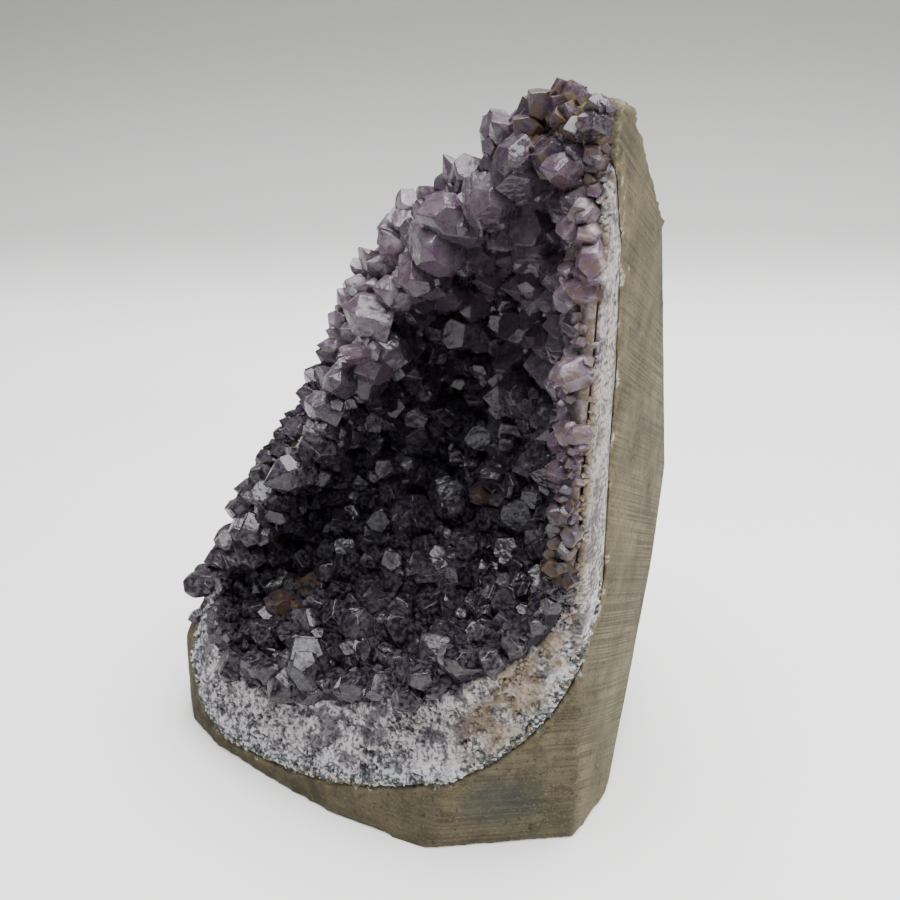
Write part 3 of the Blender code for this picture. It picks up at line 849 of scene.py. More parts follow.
@dataclass(frozen=True)
class CrystalForm:
    """One crystal to copy: a six-sided prism one unit in radius, cut to a point face by face."""

    habit: Habit
    seed: int
    length: float = 3.0
    root: float = 0.4
    face_slope: float = math.radians(38.2)
    worn_edge: float = 0.05

    def build(self) -> bpy.types.Object:
        """Builds the form, with its root at the origin and its point along +Z."""
        rng = random.Random(self.seed)
        bpy.ops.object.select_all(action="DESELECT")
        bpy.ops.mesh.primitive_cylinder_add(
            vertices=6, radius=1, depth=self.length + self.root,
            location=(0, 0, (self.length - self.root) / 2),
        )
        obj = bpy.context.active_object
        obj.name = f"form_{self.habit.value}_{self.seed}"
        bpy.ops.object.transform_apply(location=True, rotation=True, scale=True)
        self.taper(obj, rng)
        edit(obj)
        for point, facing in self.cuts(rng):
            bpy.ops.mesh.select_all(action="SELECT")
            bpy.ops.mesh.bisect(plane_co=point, plane_no=facing, use_fill=True, clear_outer=True)
        bpy.ops.mesh.select_all(action="SELECT")
        if self.worn_edge:
            bpy.ops.mesh.bevel(offset=self.worn_edge, segments=1, affect="EDGES")
        leave_edit()
        self.mark(obj, rng)
        if self.worn_edge:
            make_active(obj)
            bpy.ops.object.shade_smooth()
            apply_modifier(obj, "WEIGHTED_NORMAL", mode="FACE_AREA", weight=38)
        return self.add_steps(obj, rng) if self.habit is Habit.STEPPED else obj

    @staticmethod
    def add_steps(obj: bpy.types.Object, rng: random.Random) -> bpy.types.Object:
        """Grows two smaller crystals out of the sides of one, all standing the same way."""
        grown = [obj]
        for _ in range(2):
            side = obj.copy()
            side.data = obj.data.copy()
            bpy.context.scene.collection.objects.link(side)
            turn = math.radians(60 * rng.randrange(6) + 30)
            out = Vector((math.cos(turn), math.sin(turn), 0)) * rng.uniform(0.55, 0.8)
            small = rng.uniform(0.5, 0.72)
            side.data.transform(
                Matrix.Translation(out + Vector((0, 0, rng.uniform(0.0, 0.5)))) @ Matrix.Scale(small, 4)
            )
            grown.append(side)
        return join(grown, obj.name)

    def taper(self, obj: bpy.types.Object, rng: random.Random) -> None:
        """Narrows the prism towards its point, a little to one side."""
        narrow = rng.uniform(0.80, 0.92)
        shift = Vector((rng.uniform(-0.1, 0.1), rng.uniform(-0.1, 0.1), 0))
        for vertex in obj.data.vertices:
            if vertex.co.z > self.length / 2:
                vertex.co = Vector((vertex.co.x * narrow, vertex.co.y * narrow, vertex.co.z)) + shift

    def cuts(self, rng: random.Random) -> list[tuple[Vector, Vector]]:
        """The planes that shape the point: a place on each and the way it faces."""
        found = []
        for side in range(6):
            turn = math.radians(60 * side)
            facing = Vector((
                math.cos(turn) * math.cos(self.face_slope),
                math.sin(turn) * math.cos(self.face_slope), math.sin(self.face_slope),
            ))
            lift = rng.uniform(-0.08, 0.08)
            if self.habit in (Habit.UNEQUAL, Habit.STEPPED):
                lift += 0.42 * (side % 2) + rng.uniform(-0.1, 0.1)
            if self.habit is Habit.CHISEL:
                lift += 0.5 * (side % 3 != 0) + rng.uniform(-0.1, 0.15)
            found.append((Vector((0, 0, self.length - 0.25 + lift)), facing))
        if self.habit is Habit.BROKEN:
            for height in (0.35, 0.75):
                tilt = Vector((rng.uniform(-0.8, 0.8), rng.uniform(-0.8, 0.8), 1)).normalized()
                found.append((Vector((0, 0, self.length - 0.5 - height)), tilt))
        return found

    def mark(self, obj: bpy.types.Object, rng: random.Random) -> None:
        """Stores how far up each corner is, which faces are worn edges and how dusty each is."""
        heights = places(obj)[:, 2] * MM / self.length
        set_values(obj, "tip", np.clip(heights, 0, 1))
        worn = np.array([polygon.select for polygon in obj.data.polygons], float)
        set_values(obj, "edge", worn, "FACE")
        set_values(obj, "dust", [rng.random() for _ in obj.data.polygons], "FACE")


@dataclass(frozen=True)
class CrystalPlace:
    """Where one crystal stands and how it looks, in millimetres."""

    foot: Vector
    axis: Vector
    radius: float
    length: float
    pale: float = 0.0
    rust: float = 0.0


@dataclass
class CrystalGrower:
    """Copies the crystal forms to their places."""

    worn_edge: float = 0.05
    side_limit: float = 49.3
    side_narrows: float = 1.7
    left_limit: float = -47.0
    top_limit: float = 146.8
    forms: dict[Habit, list[bpy.types.Object]] = field(default_factory=dict)
    rng: random.Random = field(default_factory=lambda: random.Random(SEED))

    def prepare(self) -> None:
        """Builds every form that is copied."""
        counts = {
            Habit.EVEN: 3, Habit.UNEQUAL: 5, Habit.CHISEL: 3, Habit.BROKEN: 4, Habit.STEPPED: 5,
        }
        for habit, count in counts.items():
            self.forms[habit] = [
                CrystalForm(habit, seed, 3.0 if seed % 2 else 2.4, worn_edge=self.worn_edge).build()
                for seed in range(count)
            ]

    def pick(self, broken: float) -> bpy.types.Object:
        """A form by chance, with this share of broken ones."""
        if self.rng.random() < broken:
            return self.rng.choice(self.forms[Habit.BROKEN])
        habits = (Habit.EVEN, Habit.UNEQUAL, Habit.UNEQUAL, Habit.CHISEL, Habit.STEPPED, Habit.STEPPED)
        habit = self.rng.choice(habits)
        return self.rng.choice(self.forms[habit])

    def grow(self, place: CrystalPlace, broken: float = 0.08) -> bpy.types.Object:
        """Copies a form to one place.

        Args:
            place: Where the crystal stands and how it looks.
            broken: The share of crystals whose point is snapped off.

        Returns:
            The crystal, with its place in its mesh.
        """
        form = self.pick(broken)
        mesh = form.data.copy()
        tall = max(vertex.co.z for vertex in mesh.vertices)
        size = Vector((
            place.radius * self.rng.uniform(0.88, 1.12), place.radius, place.length / tall
        )) * MM
        turn = Matrix.Rotation(self.rng.uniform(0, math.tau), 4, "Z")
        stand = place.axis.to_track_quat("Z", "Y").to_matrix().to_4x4()
        mesh.transform(Matrix.Translation(place.foot * MM) @ stand @ turn @ Matrix.Diagonal(size).to_4x4())
        mesh.transform(Matrix.Translation(-self.overhang(mesh) * MM))
        obj = bpy.data.objects.new("crystal", mesh)
        bpy.context.scene.collection.objects.link(obj)
        count = len(mesh.vertices)
        set_values(obj, "pale", np.full(count, place.pale))
        set_values(obj, "rust", np.full(count, place.rust))
        set_values(obj, "shade", np.full(count, self.rng.random()))
        dusty = np.empty(len(mesh.polygons), np.float32)
        mesh.attributes["dust"].data.foreach_get("value", dusty)
        # Painted sheen: facets that face up get a larger frost number, so they come out lighter as if lit from
        # above.
        upward = np.array([max(0.0, polygon.normal.z) for polygon in mesh.polygons])
        set_values(obj, "dust", 0.65 * dusty + 0.2 * upward, "FACE")
        return obj

    def overhang(self, mesh: bpy.types.Mesh) -> Vector:
        """How far a crystal reaches past the rock's two sides and over its top, in millimetres."""
        left = min(vertex.co.x for vertex in mesh.vertices) / MM
        right = max(vertex.co.x for vertex in mesh.vertices) / MM
        top = max(vertex.co.z for vertex in mesh.vertices) / MM
        side = self.side_limit - self.side_narrows * float(smooth_step(top, 120, 143))
        across = max(0.0, right - side) + min(0.0, left - self.left_limit)
        return Vector((across, 0, max(0.0, top - self.top_limit)))

    def clear(self) -> None:
        """Removes the forms once nothing more is copied."""
        for forms in self.forms.values():
            for form in forms:
                bpy.data.objects.remove(form)


@dataclass
class Cavity:
    """The smoothed wall of the cavity, where crystals root, and the way it opens."""

    middle: Vector
    opening: Vector
    spots: np.ndarray
    facing: np.ndarray

    @classmethod
    def read(cls, node: bpy.types.Object, quartz: Skin, count: int = 26000) -> Cavity:
        """Smooths the druse and scatters places over the side that faces the hollow.

        Args:
            node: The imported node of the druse.
            quartz: The surface of the quartz layer behind it.
            count: How many places to scatter.

        Returns:
            The cavity.
        """
        wall = copy_node(node, "cavity_wall")
        apply_modifier(wall, "REMESH", mode="VOXEL", voxel_size=1.3 * MM)
        spots = places(wall)
        order = np.lexsort(spots.T)  # voxel corners come in no fixed order
        rank = np.argsort(order)
        apply_modifier(wall, "SMOOTH", factor=0.5, iterations=30)
        spots, facing = spots[order], normals(wall)[order]
        quads = np.sort(rank[[polygon.vertices[:] for polygon in wall.data.polygons]], axis=1)
        quads = quads[np.lexsort(quads.T)]
        rng = np.random.default_rng(SEED)
        picked = quads[rng.integers(len(quads), size=count)]
        shares = rng.dirichlet((1, 1, 1, 1), count)[:, :, None]
        spots = np.round((spots[picked] * shares).sum(1), 4)
        facing = np.round((facing[picked] * shares).sum(1), 4)
        facing /= np.linalg.norm(facing, axis=1)[:, None]
        away = spots - quartz.nearest(spots)
        gap = np.linalg.norm(away, axis=1)
        inside = (gap > 0.8) & ((away * facing).sum(1) > -0.5 * gap)
        spots, facing = spots[inside], facing[inside]
        bpy.data.objects.remove(wall)
        return cls(Vector(spots.mean(0)), unit(facing.mean(0)), spots, facing)

    def nearest_facing(self, spot: Vector) -> Vector:
        """The wall's facing near a place."""
        away = np.linalg.norm(self.spots - np.array(spot), axis=1)
        return Vector(self.facing[int(away.argmin())])

    def outward(self, spot: Vector) -> Vector:
        """The way from the cavity's middle to a place, in the plane of the opening."""
        away = spot - self.middle
        return (away - self.opening * away.dot(self.opening)).normalized()


@dataclass
class StainPlaces:
    """Where iron stains sit, and how pale the crystals are over the cavity, with painted light on the upper
    cavity.
    """

    rust_spots: Sequence[tuple[float, float, float]] = ((-20, -8, 36), (19, 10, 60), (47, -22, 68))
    rust_reach: float = 6.0
    right_rim_from: float = 36.0

    def rust(self, spot: Vector) -> float:
        """How rusty a crystal is at a place."""
        near = min((spot - Vector(centre)).length for centre in self.rust_spots)
        spots = 1 - float(smooth_step(near, self.rust_reach * 0.5, self.rust_reach))
        rim = float(smooth_step(spot.x, 41, 46)) * float(smooth_step(spot.z, 50, 75))
        crown = float(smooth_step(spot.z, 128, 140)) * float(smooth_step(spot.x, 28, 36))
        return min(1.0, spots + 0.7 * rim + 1.0 * crown)

    def pale(self, spot: Vector, depth: float) -> float:
        """How pale a crystal is at a place, by its depth behind the opening and its height, where the rise
        with height is painted light.
        """
        shallow = 1 - float(smooth_step(depth, -2, 10))
        right = float(smooth_step(spot.x, self.right_rim_from, 44)) * float(smooth_step(spot.z, 60, 90))
        upper_left = float(smooth_step(spot.z, 70, 105)) * float(smooth_step(12 - spot.x, 0, 14))
        # Painted light: crystals high in the cavity are made paler to stand for the light they catch.
        upper = float(smooth_step(spot.z, 72, 112))
        crown = float(smooth_step(spot.z, 124, 136)) * float(smooth_step(spot.x, 26, 34))
        pale = 0.03 + 0.6 * upper + 0.6 * right * shallow + 0.6 * upper_left * shallow
        return min(1.0, pale) * (1 - 0.6 * crown)


def spaced(spots: np.ndarray, radii: np.ndarray, crowding: float) -> list[int]:
    """Picks places in order, so that no two crystals stand closer than their radii allow.

    Args:
        spots: The places to pick from.
        radii: Each place's crystal radius.
        crowding: The least distance, as a share of the two radii together.

    Returns:
        The rows of the places that are kept.
    """
    kept: list[int] = []
    held = np.zeros((len(spots), 4))
    for index, (spot, radius) in enumerate(zip(spots, radii)):
        taken = held[: len(kept)]
        room = ((taken[:, 3] + radius) * crowding) ** 2
        if (((taken[:, :3] - spot) ** 2).sum(1) < room).any():
            continue
        held[len(kept)] = (*spot, radius)
        kept.append(index)
    return kept


@dataclass
class DruseCarpet:
    """The intergrown crystals that line the cavity, in three pieces from the lip to the crown."""

    cavity: Cavity
    grower: CrystalGrower
    stains: StainPlaces
    mean_radius: float = 4.0
    crowding: float = 0.55
    clump_size: float = 11.0
    clump_rise: float = 3.7
    clump_lean: float = 0.75
    lean: float = 0.4
    right_limit: float = 49.0
    heights: tuple[float, float] = (52.0, 88.0)

    def radii(self, count: int) -> np.ndarray:
        """Crystal radii for places picked in order: a few big ones, then middling, then small."""
        rng = np.random.default_rng(SEED + 1)
        sizes = np.full(count, 0.48)
        sizes[: count // 7] = 0.88
        sizes[: count // 130] = 1.12
        return self.mean_radius * sizes * rng.uniform(0.84, 1.14, count)

    def build(self) -> list[bpy.types.Object]:
        """Grows the crystals and joins them by height."""
        spots = self.cavity.spots
        radii = self.radii(len(spots))
        radii *= 0.96 + 0.14 * smooth_step(spots[:, 2], 70, 110)
        radii *= 1 - 0.32 * smooth_step(spots[:, 0], 33, 40)
        radii *= 1 - 0.4 * smooth_step(-spots[:, 0], 22, 34) * (1 - smooth_step(spots[:, 2], 30, 46))
        layers: list[list[bpy.types.Object]] = [[], [], []]
        for index in spaced(spots, radii, self.crowding):
            if spots[index, 0] + 0.9 * radii[index] > self.right_limit:
                continue
            self.grower.rng.seed(index)
            place = self.place(Vector(spots[index]), Vector(self.cavity.facing[index]), radii[index])
            layer = sum(place.foot.z > height for height in self.heights)
            layers[layer].append(self.grower.grow(place))
        names = ("druse_crystals_low", "druse_crystals_middle", "druse_crystals_high")
        return [join(layer, name) for layer, name in zip(layers, names)]

    def place(self, spot: Vector, facing: Vector, radius: float) -> CrystalPlace:
        """How one crystal of the carpet stands.

        Args:
            spot: Its place on the wall.
            facing: The wall's facing there.
            radius: Its radius.

        Returns:
            Its place and look.
        """
        rng = self.grower.rng
        clump = noise.noise(spot / self.clump_size)
        drift = noise.noise_vector(spot / self.clump_size + Vector((9, 3, 5)))
        wander = Vector([rng.uniform(-1, 1) for _ in range(3)])
        axis = unit(facing + drift * self.clump_lean + wander * self.lean)
        if axis.dot(facing) < 0.45:
            axis = unit(axis + facing * 0.6)
        small = 1.0 if radius > 0.62 * self.mean_radius else 0.6
        foot = spot - facing * 2.0 + facing * max(0, clump) * self.clump_rise * small
        depth = (self.cavity.middle - spot).dot(self.cavity.opening)
        return CrystalPlace(
            foot, axis, radius, 2.0 + radius * rng.uniform(0.95, 1.65),
            self.stains.pale(spot, depth + 14), self.stains.rust(spot),
        )


@dataclass
class StandInCrystals:
    """Detailed crystals in the places of the part's separate ones."""

    cavity: Cavity
    grower: CrystalGrower
    stains: StainPlaces
    rim_lean: float = 0.6
    small_below: float = 30.0
    lowered_above: float = 138.0

    def build(self, name: str, nodes: Sequence[str], pale: float) -> bpy.types.Object:
        """Grows one crystal in each packed crystal's place.

        Args:
            name: The piece's name.
            nodes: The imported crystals.
            pale: How much paler they are than the cavity's.

        Returns:
            The crystals, joined.
        """
        grown = []
        for node in nodes:
            low, high = (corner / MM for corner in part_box(node))
            middle, across = (low + high) / 2, (high - low).length
            small = 0.3 * float(smooth_step(middle.z, 128, 140)) + 0.45 * (middle.z < self.small_below)
            radius = across / 3.6 * (1 - (small if pale else 0))
            facing = self.cavity.nearest_facing(middle)
            if pale:
                facing = unit(self.cavity.opening + self.rim_lean * self.cavity.outward(middle))
            foot = middle - facing * radius * 1.3
            if pale and middle.z > self.lowered_above:
                foot.z -= 1.8
            depth = (self.cavity.middle - middle).dot(self.cavity.opening)
            crown = float(smooth_step(middle.z, 124, 136))
            look = min(1.0, pale * (1 - 0.7 * crown) + self.stains.pale(middle, depth + 14))
            place = CrystalPlace(foot, facing, radius, radius * 2.5, look, self.stains.rust(middle))
            grown.append(self.grower.grow(place, broken=0.0))
        piece = join(grown, name)
        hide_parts(*nodes)
        return piece


@dataclass
class RimFringe:
    """Smaller crystals that fill the left rim and the crown between the large ones."""

    cavity: Cavity
    grower: CrystalGrower
    stains: StainPlaces
    lowest: float = 33.0
    per_step: int = 11
    spread_in: float = 5.5
    spread_out: float = 1.4
    radii: tuple[float, float] = (1.5, 3.3)

    def build(self, guides: Sequence[str]) -> bpy.types.Object:
        """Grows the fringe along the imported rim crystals.

        Args:
            guides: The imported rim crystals, in order from the lip to the crown.

        Returns:
            The fringe, joined.
        """
        line = [sum(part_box(node), Vector()) / 2 / MM for node in guides]
        rng = self.grower.rng
        grown = []
        for start, end in zip(line, line[1:]):
            for step in range(self.per_step):
                spot = start.lerp(end, (step + rng.random()) / self.per_step)
                if spot.z < self.lowest:
                    continue
                outward = self.cavity.outward(spot)
                side = rng.uniform(-self.spread_in, self.spread_out)
                radius = rng.uniform(*self.radii)
                wander = Vector([rng.uniform(-1, 1) for _ in range(3)])
                lean = 0.15 + 0.75 * (side + self.spread_in) / (self.spread_in + self.spread_out)
                axis = unit(self.cavity.opening + outward * lean + wander * 0.45)
                foot = spot + outward * side - self.cavity.opening * (3.0 + 0.35 * max(0.0, side))
                pale = self.stains.pale(spot, 0) + rng.uniform(0.0, 0.25)
                grown.append(self.grower.grow(CrystalPlace(
                    foot, axis, radius, 2.5 + radius * rng.uniform(1.2, 1.9), min(1.0, pale),
                    self.stains.rust(spot),
                )))
        return join(grown, "rim_fringe")


@dataclass
class EdgeColumns:
    """Pale broken columns along the sawn right rim, rooted in the quartz strip."""

    grower: CrystalGrower
    stains: StainPlaces
    count: int = 260
    heights: tuple[float, float] = (48.0, 143.0)
    root_x: tuple[float, float] = (43.0, 48.5)
    root_y: tuple[float, float] = (-18.0, -4.0)
    radii: tuple[float, float] = (0.8, 2.6)
    front_from: float = 130.0

    def build(self) -> bpy.types.Object:
        """Grows the columns and joins them."""
        rng = self.grower.rng
        grown = []
        for number in range(self.count):
            share = (number + rng.random()) / self.count
            height = self.heights[0] + share * (self.heights[1] - self.heights[0])
            radius = rng.uniform(*self.radii)
            x = rng.uniform(self.root_x[0], self.root_x[1] - radius)
            y = rng.uniform(*self.root_y) if height < self.front_from else rng.uniform(-17.5, -14.5)
            foot = Vector((x, y, height))
            axis = unit((
                -0.55 + rng.uniform(-0.4, 0.4), -0.7 + rng.uniform(-0.4, 0.4),
                0.1 + rng.uniform(-0.5, 0.5),
            ))
            patch = 0.95 + 1.3 * noise.noise(foot / 8) + 0.5 * float(smooth_step(-abs(height - 106), -24, -12))
            pale = (0.3 + 0.7 * float(smooth_step(height, 70, 100))) * patch + rng.uniform(-0.1, 0.15)
            pale *= 1 - 0.6 * float(smooth_step(height, 122, 134))
            grown.append(self.grower.grow(CrystalPlace(
                foot, axis, radius, radius * rng.uniform(1.5, 2.3), min(1.0, max(0.05, pale)),
                0.5 * self.stains.rust(foot),
            ), broken=0.5))
        return join(grown, "edge_columns")


@dataclass
class NotableCrystals:
    """The few crystals that stand out: frosted, pale or snapped, each in its own place."""

    grower: CrystalGrower
    whole: tuple[CrystalPlace, ...] = (
        CrystalPlace(Vector((27.5, -20.0, 38.5)), Vector((0.05, -0.42, 0.9)), 3.7, 11.0, 0.62),
        CrystalPlace(Vector((40.5, 1.5, 96.5)), Vector((-0.62, -0.7, 0.3)), 3.5, 10.5, 0.8, 0.2),
        CrystalPlace(Vector((37.5, 6.0, 118.0)), Vector((-0.35, -0.85, -0.35)), 2.8, 10.5, 0.72),
        CrystalPlace(Vector((40.5, 4.0, 116.0)), Vector((-0.25, -0.85, -0.3)), 2.5, 10.0, 0.85),
        CrystalPlace(Vector((34.5, 7.5, 115.5)), Vector((-0.4, -0.85, -0.25)), 2.4, 9.0, 0.55),
        CrystalPlace(Vector((1.5, 2.5, 109.5)), Vector((-0.3, -0.5, 0.8)), 3.6, 8.5, 0.8),
        CrystalPlace(Vector((-3.0, 3.5, 106.0)), Vector((-0.5, -0.4, 0.75)), 2.9, 7.5, 0.65, 0.3),
        CrystalPlace(Vector((5.0, 2.5, 113.5)), Vector((-0.1, -0.6, 0.75)), 2.8, 6.5, 0.55),
    )
    snapped: tuple[CrystalPlace, ...] = (
        CrystalPlace(Vector((38.0, 3.5, 104.5)), Vector((-0.35, -0.85, 0.35)), 2.7, 8.0, 1.0),
        CrystalPlace(Vector((39.0, 2.5, 125.5)), Vector((-0.45, -0.85, -0.1)), 4.2, 8.5, 0.95),
        CrystalPlace(Vector((42.0, -3.0, 126.5)), Vector((-0.3, -0.9, 0.1)), 3.4, 8.0, 0.8, 0.3),
    )

    def build(self) -> bpy.types.Object:
        """Grows them and joins them."""
        grown = [self.grower.grow(place, broken=0.0) for place in self.whole]
        grown += [self.grower.grow(place, broken=1.0) for place in self.snapped]
        return join(grown, "notable_crystals")


@dataclass
class CrownCluster:
    """Stained lilac crystals that cover the top of the rock."""

    grower: CrystalGrower
    count: int = 120
    span: tuple[float, float] = (33.0, 48.6)
    upright_from: float = 45.5

    def build(self, top: float) -> bpy.types.Object:
        """Grows the cluster.

        Args:
            top: The height of the rock's top.

        Returns:
            The cluster, joined.
        """
        rng = self.grower.rng
        grown = []
        for number in range(self.count):
            radius = rng.uniform(0.8, 1.9)
            share = (number + rng.random()) / self.count
            x = min(self.span[0] + share * (self.span[1] - self.span[0]), 48.9 - radius)
            y = rng.uniform(-17.0, -5.0 if x < self.upright_from else -13.5)
            drop = max(0.0, -15.0 - y) * rng.uniform(0.5, 4.0)
            foot = Vector((x, y, top - 9.8 + 7.6 * share + rng.uniform(-0.8, 0.3) - drop))
            aside = rng.uniform(-0.9, 0.15) if x < self.upright_from else rng.uniform(-0.5, -0.1)
            axis = unit((aside, -0.35 + rng.uniform(-0.5, 0.5), 0.8))
            grown.append(self.grower.grow(CrystalPlace(
                foot, axis, radius, radius * rng.uniform(1.5, 2.2), rng.uniform(0.05, 0.35),
                rng.uniform(0.5, 1.0),
            ), broken=0.35))
        return join(grown, "crown_cluster")


@dataclass
class QuartzGrains:
    """Small broken prisms that stand out of the band's rough face."""

    grower: CrystalGrower
    count: int = 4200
    radii: tuple[float, float] = (0.2, 0.55)

    def build(self, node: bpy.types.Object, basalt: Skin, druse: Skin, middle: Vector) -> bpy.types.Object:
        """Grows the grains on the face of the band.

        Args:
            node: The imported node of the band.
            basalt: The surface of the rock.
            druse: The surface of the crystal layer.
            middle: The cavity's middle, which the grains lean towards.

        Returns:
            The grains, joined.
        """
        face = copy_node(node, "band_face")
        face.data.calc_loop_triangles()
        spots = places(face)
        corners = spots[np.array([t.vertices[:] for t in face.data.loop_triangles])]
        cross = np.cross(corners[:, 1] - corners[:, 0], corners[:, 2] - corners[:, 0])
        areas = np.linalg.norm(cross, axis=1)
        rng = np.random.default_rng(SEED + 2)
        picked = rng.choice(len(areas), 14 * self.count, p=areas / areas.sum())
        spots = (corners[picked] * rng.dirichlet((1, 1, 1), len(picked))[:, :, None]).sum(1)
        facing = cross[picked] / areas[picked][:, None]
        seam, inner = basalt.distances(spots), druse.distances(spots)
        shown = (seam > 1.3) & (inner > 0.6) & (facing[:, 0] < 0.85)
        bpy.data.objects.remove(face)
        grown = []
        for spot, out, edge in list(zip(spots[shown], facing[shown], seam[shown]))[: self.count]:
            spot, out = Vector(spot), Vector(out)
            inward = middle - spot
            inward = (inward - out * inward.dot(out)).normalized()
            wander = Vector([self.grower.rng.uniform(-1, 1) for _ in range(3)])
            axis = unit(out * 0.6 + inward * 0.9 + wander * 0.6)
            radius = self.grower.rng.uniform(*self.radii)
            grain = self.grower.grow(
                CrystalPlace(spot - out * 0.5, axis, radius, radius * self.grower.rng.uniform(1.8, 3.6)),
                broken=0.5,
            )
            count = len(grain.data.vertices)
            angle = math.atan2(spot.z - middle.z, spot.x - middle.x)
            set_values(grain, "along", np.full(count, angle * 45))
            set_values(grain, "seam", np.full(count, edge))
            stain = float(smooth_step(spot.x, 22, 36)) * float(smooth_step(edge, 0.5, 4))
            set_values(grain, "stain", np.full(count, stain))
            grown.append(grain)
        return join(grown, "quartz_grains")


@dataclass
class CeladoniteSeam:
    """Green-grey crumbs along the line where the quartz meets the rock."""

    count: int = 800
    radii: tuple[float, float] = (0.2, 0.62)

    def build(self, node: bpy.types.Object, basalt: Skin, druse: Skin) -> bpy.types.Object:
        """Scatters the crumbs.

        Args:
            node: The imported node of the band.
            basalt: The surface of the rock.
            druse: The surface of the crystal layer.

        Returns:
            The crumbs, joined.
        """
        bpy.ops.object.select_all(action="DESELECT")
        bpy.ops.mesh.primitive_ico_sphere_add(subdivisions=2, radius=1 * MM, location=(0, 0, 0))
        crumb = bpy.context.active_object
        displace(crumb, "CLOUDS", 0.9, 0.9)
        face = copy_node(node, "band_edge")
        apply_modifier(face, "REMESH", mode="VOXEL", voxel_size=0.6 * MM)
        order = np.lexsort(places(face).T)
        spots, facing = places(face)[order], normals(face)[order]
        bpy.data.objects.remove(face)
        seam = basalt.distances(spots)
        near = (seam > 0.5) & (seam < 1.7) & (spots[:, 2] < 60)
        near &= druse.distances(spots) > 2.5
        near &= (waves(spots, 6.0) > -0.3)
        rng = random.Random(SEED + 3)
        rows = list(np.flatnonzero(near))
        rng.shuffle(rows)
        grown = []
        for row in rows[: self.count]:
            mesh = crumb.data.copy()
            size = Vector([rng.uniform(*self.radii) for _ in range(3)])
            turn = Matrix.Rotation(rng.uniform(0, math.tau), 4, Vector(facing[row]))
            mesh.transform(Matrix.Translation(Vector(spots[row]) * MM) @ turn @ Matrix.Diagonal(size).to_4x4())
            obj = bpy.data.objects.new("crumb", mesh)
            bpy.context.scene.collection.objects.link(obj)
            set_values(obj, "kind", np.full(len(mesh.vertices), rng.random()))
            grown.append(obj)
        bpy.data.objects.remove(crumb)
        return join(grown, "celadonite_seam")


# ---------------------------------------------------------------------------------------------
# The studio
# ---------------------------------------------------------------------------------------------


@dataclass
class Studio:
    """A pale floor that sweeps up behind, soft light from above, and the camera."""

    half_width: float = 1.6
    wall_behind: float = 0.40
    wall_height: float = 1.2
    sweep: float = 0.22
    camera_at: tuple[float, float, float] = (98.9, -189.8, 169.9)
    camera_turn: float = 24.5
    camera_pitch: float = 25.0
    lens: float = 46.0

    def build(self) -> None:
        """Builds the floor, the lights and the camera."""
        self.build_floor()
        self.add_light("overhead", (0.08, -0.01, 0.60), (0, 0, 0), 0.60, 14.5)
        self.add_light("right", (0.8, 0.1, 0.4), (0, 0, 0.07), 0.5, 5)
        self.build_world()
        self.build_camera()

    def build_floor(self) -> None:
        """A floor whose far edge is pulled up into a wall through a wide round."""
        bpy.ops.object.select_all(action="DESELECT")
        bpy.ops.mesh.primitive_plane_add(
            size=2 * self.half_width, location=(0, self.wall_behind - self.half_width, 0)
        )
        floor = bpy.context.active_object
        floor.name = "studio_floor"
        bpy.ops.object.transform_apply(location=True, rotation=True, scale=True)
        self.select_corner(floor)
        bpy.ops.mesh.extrude_region_move(TRANSFORM_OT_translate={"value": (0, 0, self.wall_height)})
        leave_edit()
        self.select_corner(floor)
        bpy.ops.mesh.bevel(offset=self.sweep, segments=24, affect="EDGES")
        leave_edit()
        floor.rotation_euler.z = math.radians(self.camera_turn)
        bpy.ops.object.transform_apply(location=True, rotation=True, scale=True)
        bpy.ops.object.shade_smooth()
        floor.data.materials.append(PaperFinish().build())

    def select_corner(self, floor: bpy.types.Object) -> None:
        """Opens the floor in edit mode with only the line under the wall selected."""
        def at_corner(index: int) -> bool:
            """Whether a vertex lies on that line."""
            spot = floor.data.vertices[index].co
            return abs(spot.y - self.wall_behind) < MM and spot.z < MM

        make_active(floor)
        bpy.ops.object.mode_set(mode="EDIT")
        bpy.ops.mesh.select_mode(type="EDGE")
        bpy.ops.mesh.select_all(action="DESELECT")
        leave_edit()
        for edge in floor.data.edges:
            edge.select = all(at_corner(index) for index in edge.vertices)
        bpy.ops.object.mode_set(mode="EDIT")

    @staticmethod
    def add_light(name: str, at: Sequence[float], towards: Sequence[float], size: float, power: float) -> None:
        """Adds one square soft light.

        Args:
            name: The light's name.
            at: Its place in metres.
            towards: The place that it faces.
            size: Its side in metres.
            power: Its power in watts.
        """
        lamp = bpy.data.lights.new(name, "AREA")
        lamp.size = size
        lamp.energy = power
        obj = bpy.data.objects.new(name, lamp)
        obj.location = at
        obj.rotation_mode = "QUATERNION"
        obj.rotation_quaternion = (Vector(towards) - Vector(at)).to_track_quat("-Z", "Y")
        bpy.context.scene.collection.objects.link(obj)

    @staticmethod
    def build_world() -> None:
        """An even pale surround."""
        world = bpy.data.worlds.new("surround")
        world.use_nodes = True
        background = world.node_tree.nodes["Background"]
        background.inputs["Color"].default_value = (0.93, 0.95, 1.0, 1)
        background.inputs["Strength"].default_value = 0.28
        bpy.context.scene.world = world

    def build_camera(self) -> None:
        """The camera, a little above the stone and to its right."""
        lens = bpy.data.cameras.new("camera")
        lens.lens = self.lens
        lens.clip_start = 0.01
        camera = bpy.data.objects.new("camera", lens)
        turn, pitch = math.radians(self.camera_turn), math.radians(self.camera_pitch)
        ahead = Vector((
            -math.sin(turn) * math.cos(pitch), math.cos(turn) * math.cos(pitch), -math.sin(pitch)
        ))
        camera.location = Vector(self.camera_at) * MM
        camera.rotation_mode = "QUATERNION"
        camera.rotation_quaternion = ahead.to_track_quat("-Z", "Y")
        bpy.context.scene.collection.objects.link(camera)
        bpy.context.scene.camera = camera


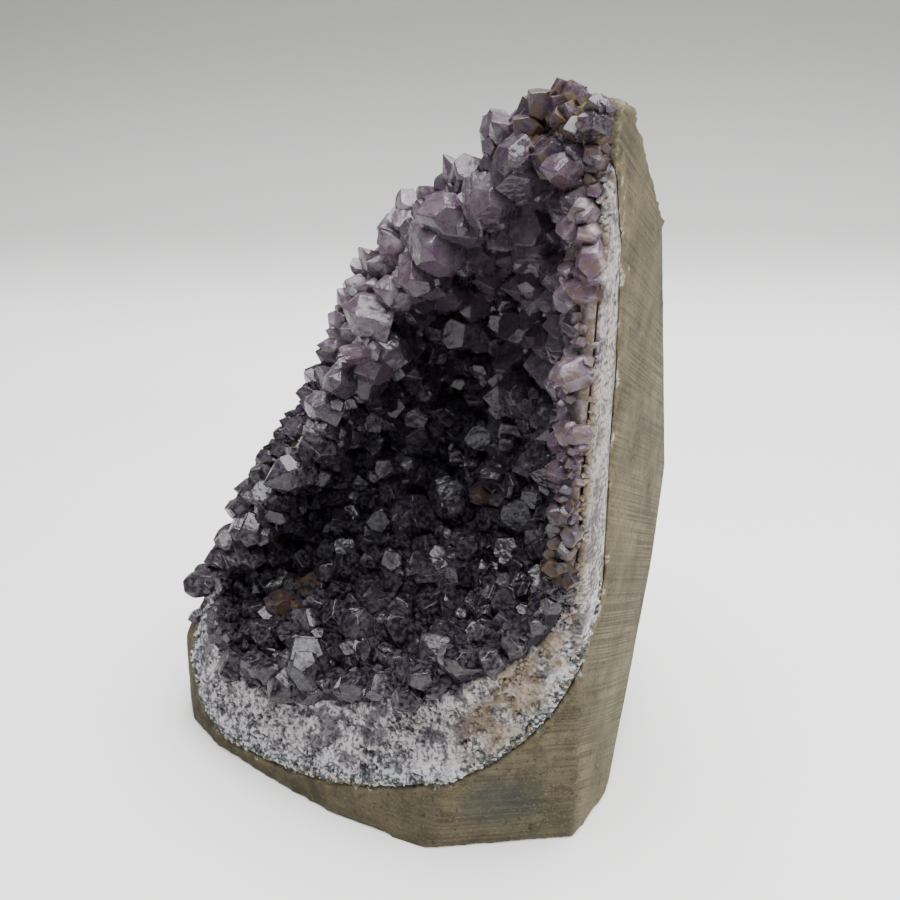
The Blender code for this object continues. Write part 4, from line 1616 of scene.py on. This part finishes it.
def main() -> None:
    """Builds the pieces from the rock inwards, then the studio."""
    logging.basicConfig(level=logging.INFO, format="%(name)s %(message)s")
    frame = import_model()
    nodes = frame["nodes"]
    build_shared_effects()
    amethyst = AmethystFinish().build()
    quartz_stone = QuartzFinish().build()
    basalt, quartz, druse = (
        Skin.of(nodes[name]) for name in ("basalt_matrix", "quartz_band", "amethyst_druse")
    )
    cavity = Cavity.read(nodes["amethyst_druse"], quartz)

    body = BasaltBody().build(nodes["basalt_matrix"], quartz)
    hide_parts("basalt_matrix")
    finish_piece(body, BasaltFinish().build())
    band = QuartzBand(middle=cavity.middle).build(nodes["quartz_band"], basalt, druse)
    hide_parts("quartz_band")
    finish_piece(band, quartz_stone)
    seam = CeladoniteSeam().build(nodes["quartz_band"], basalt, druse)
    finish_piece(seam, SeamFinish().build())
    nodes["amethyst_druse"].data.materials.clear()
    nodes["amethyst_druse"].data.materials.append(DruseGroundFinish().build())

    grower = CrystalGrower()
    grower.prepare()
    stains = StainPlaces()
    plain = CrystalGrower(worn_edge=0.0)
    plain.prepare()
    grains = QuartzGrains(plain).build(nodes["quartz_band"], basalt, druse, cavity.middle)
    plain.clear()
    finish_piece(grains, quartz_stone)
    for piece in DruseCarpet(cavity, grower, stains).build():
        finish_piece(piece, amethyst)
    bowl_nodes = sorted(name for name in nodes if name.startswith("amethyst_crystal_"))
    rim_nodes = sorted(name for name in nodes if name.startswith("rim_crystal_"))
    stand_ins = StandInCrystals(cavity, grower, stains)
    finish_piece(stand_ins.build("bowl_crystals", bowl_nodes, 0.0), amethyst)
    finish_piece(stand_ins.build("rim_crystals", rim_nodes, 0.2), amethyst)
    finish_piece(RimFringe(cavity, grower, stains).build(rim_nodes), amethyst)
    finish_piece(EdgeColumns(grower, stains).build(), amethyst)
    finish_piece(NotableCrystals(grower).build(), amethyst)
    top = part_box("basalt_matrix")[1].z / MM
    finish_piece(CrownCluster(grower).build(top), amethyst)
    grower.clear()

    Studio().build()


if __name__ == "__main__":
    main()
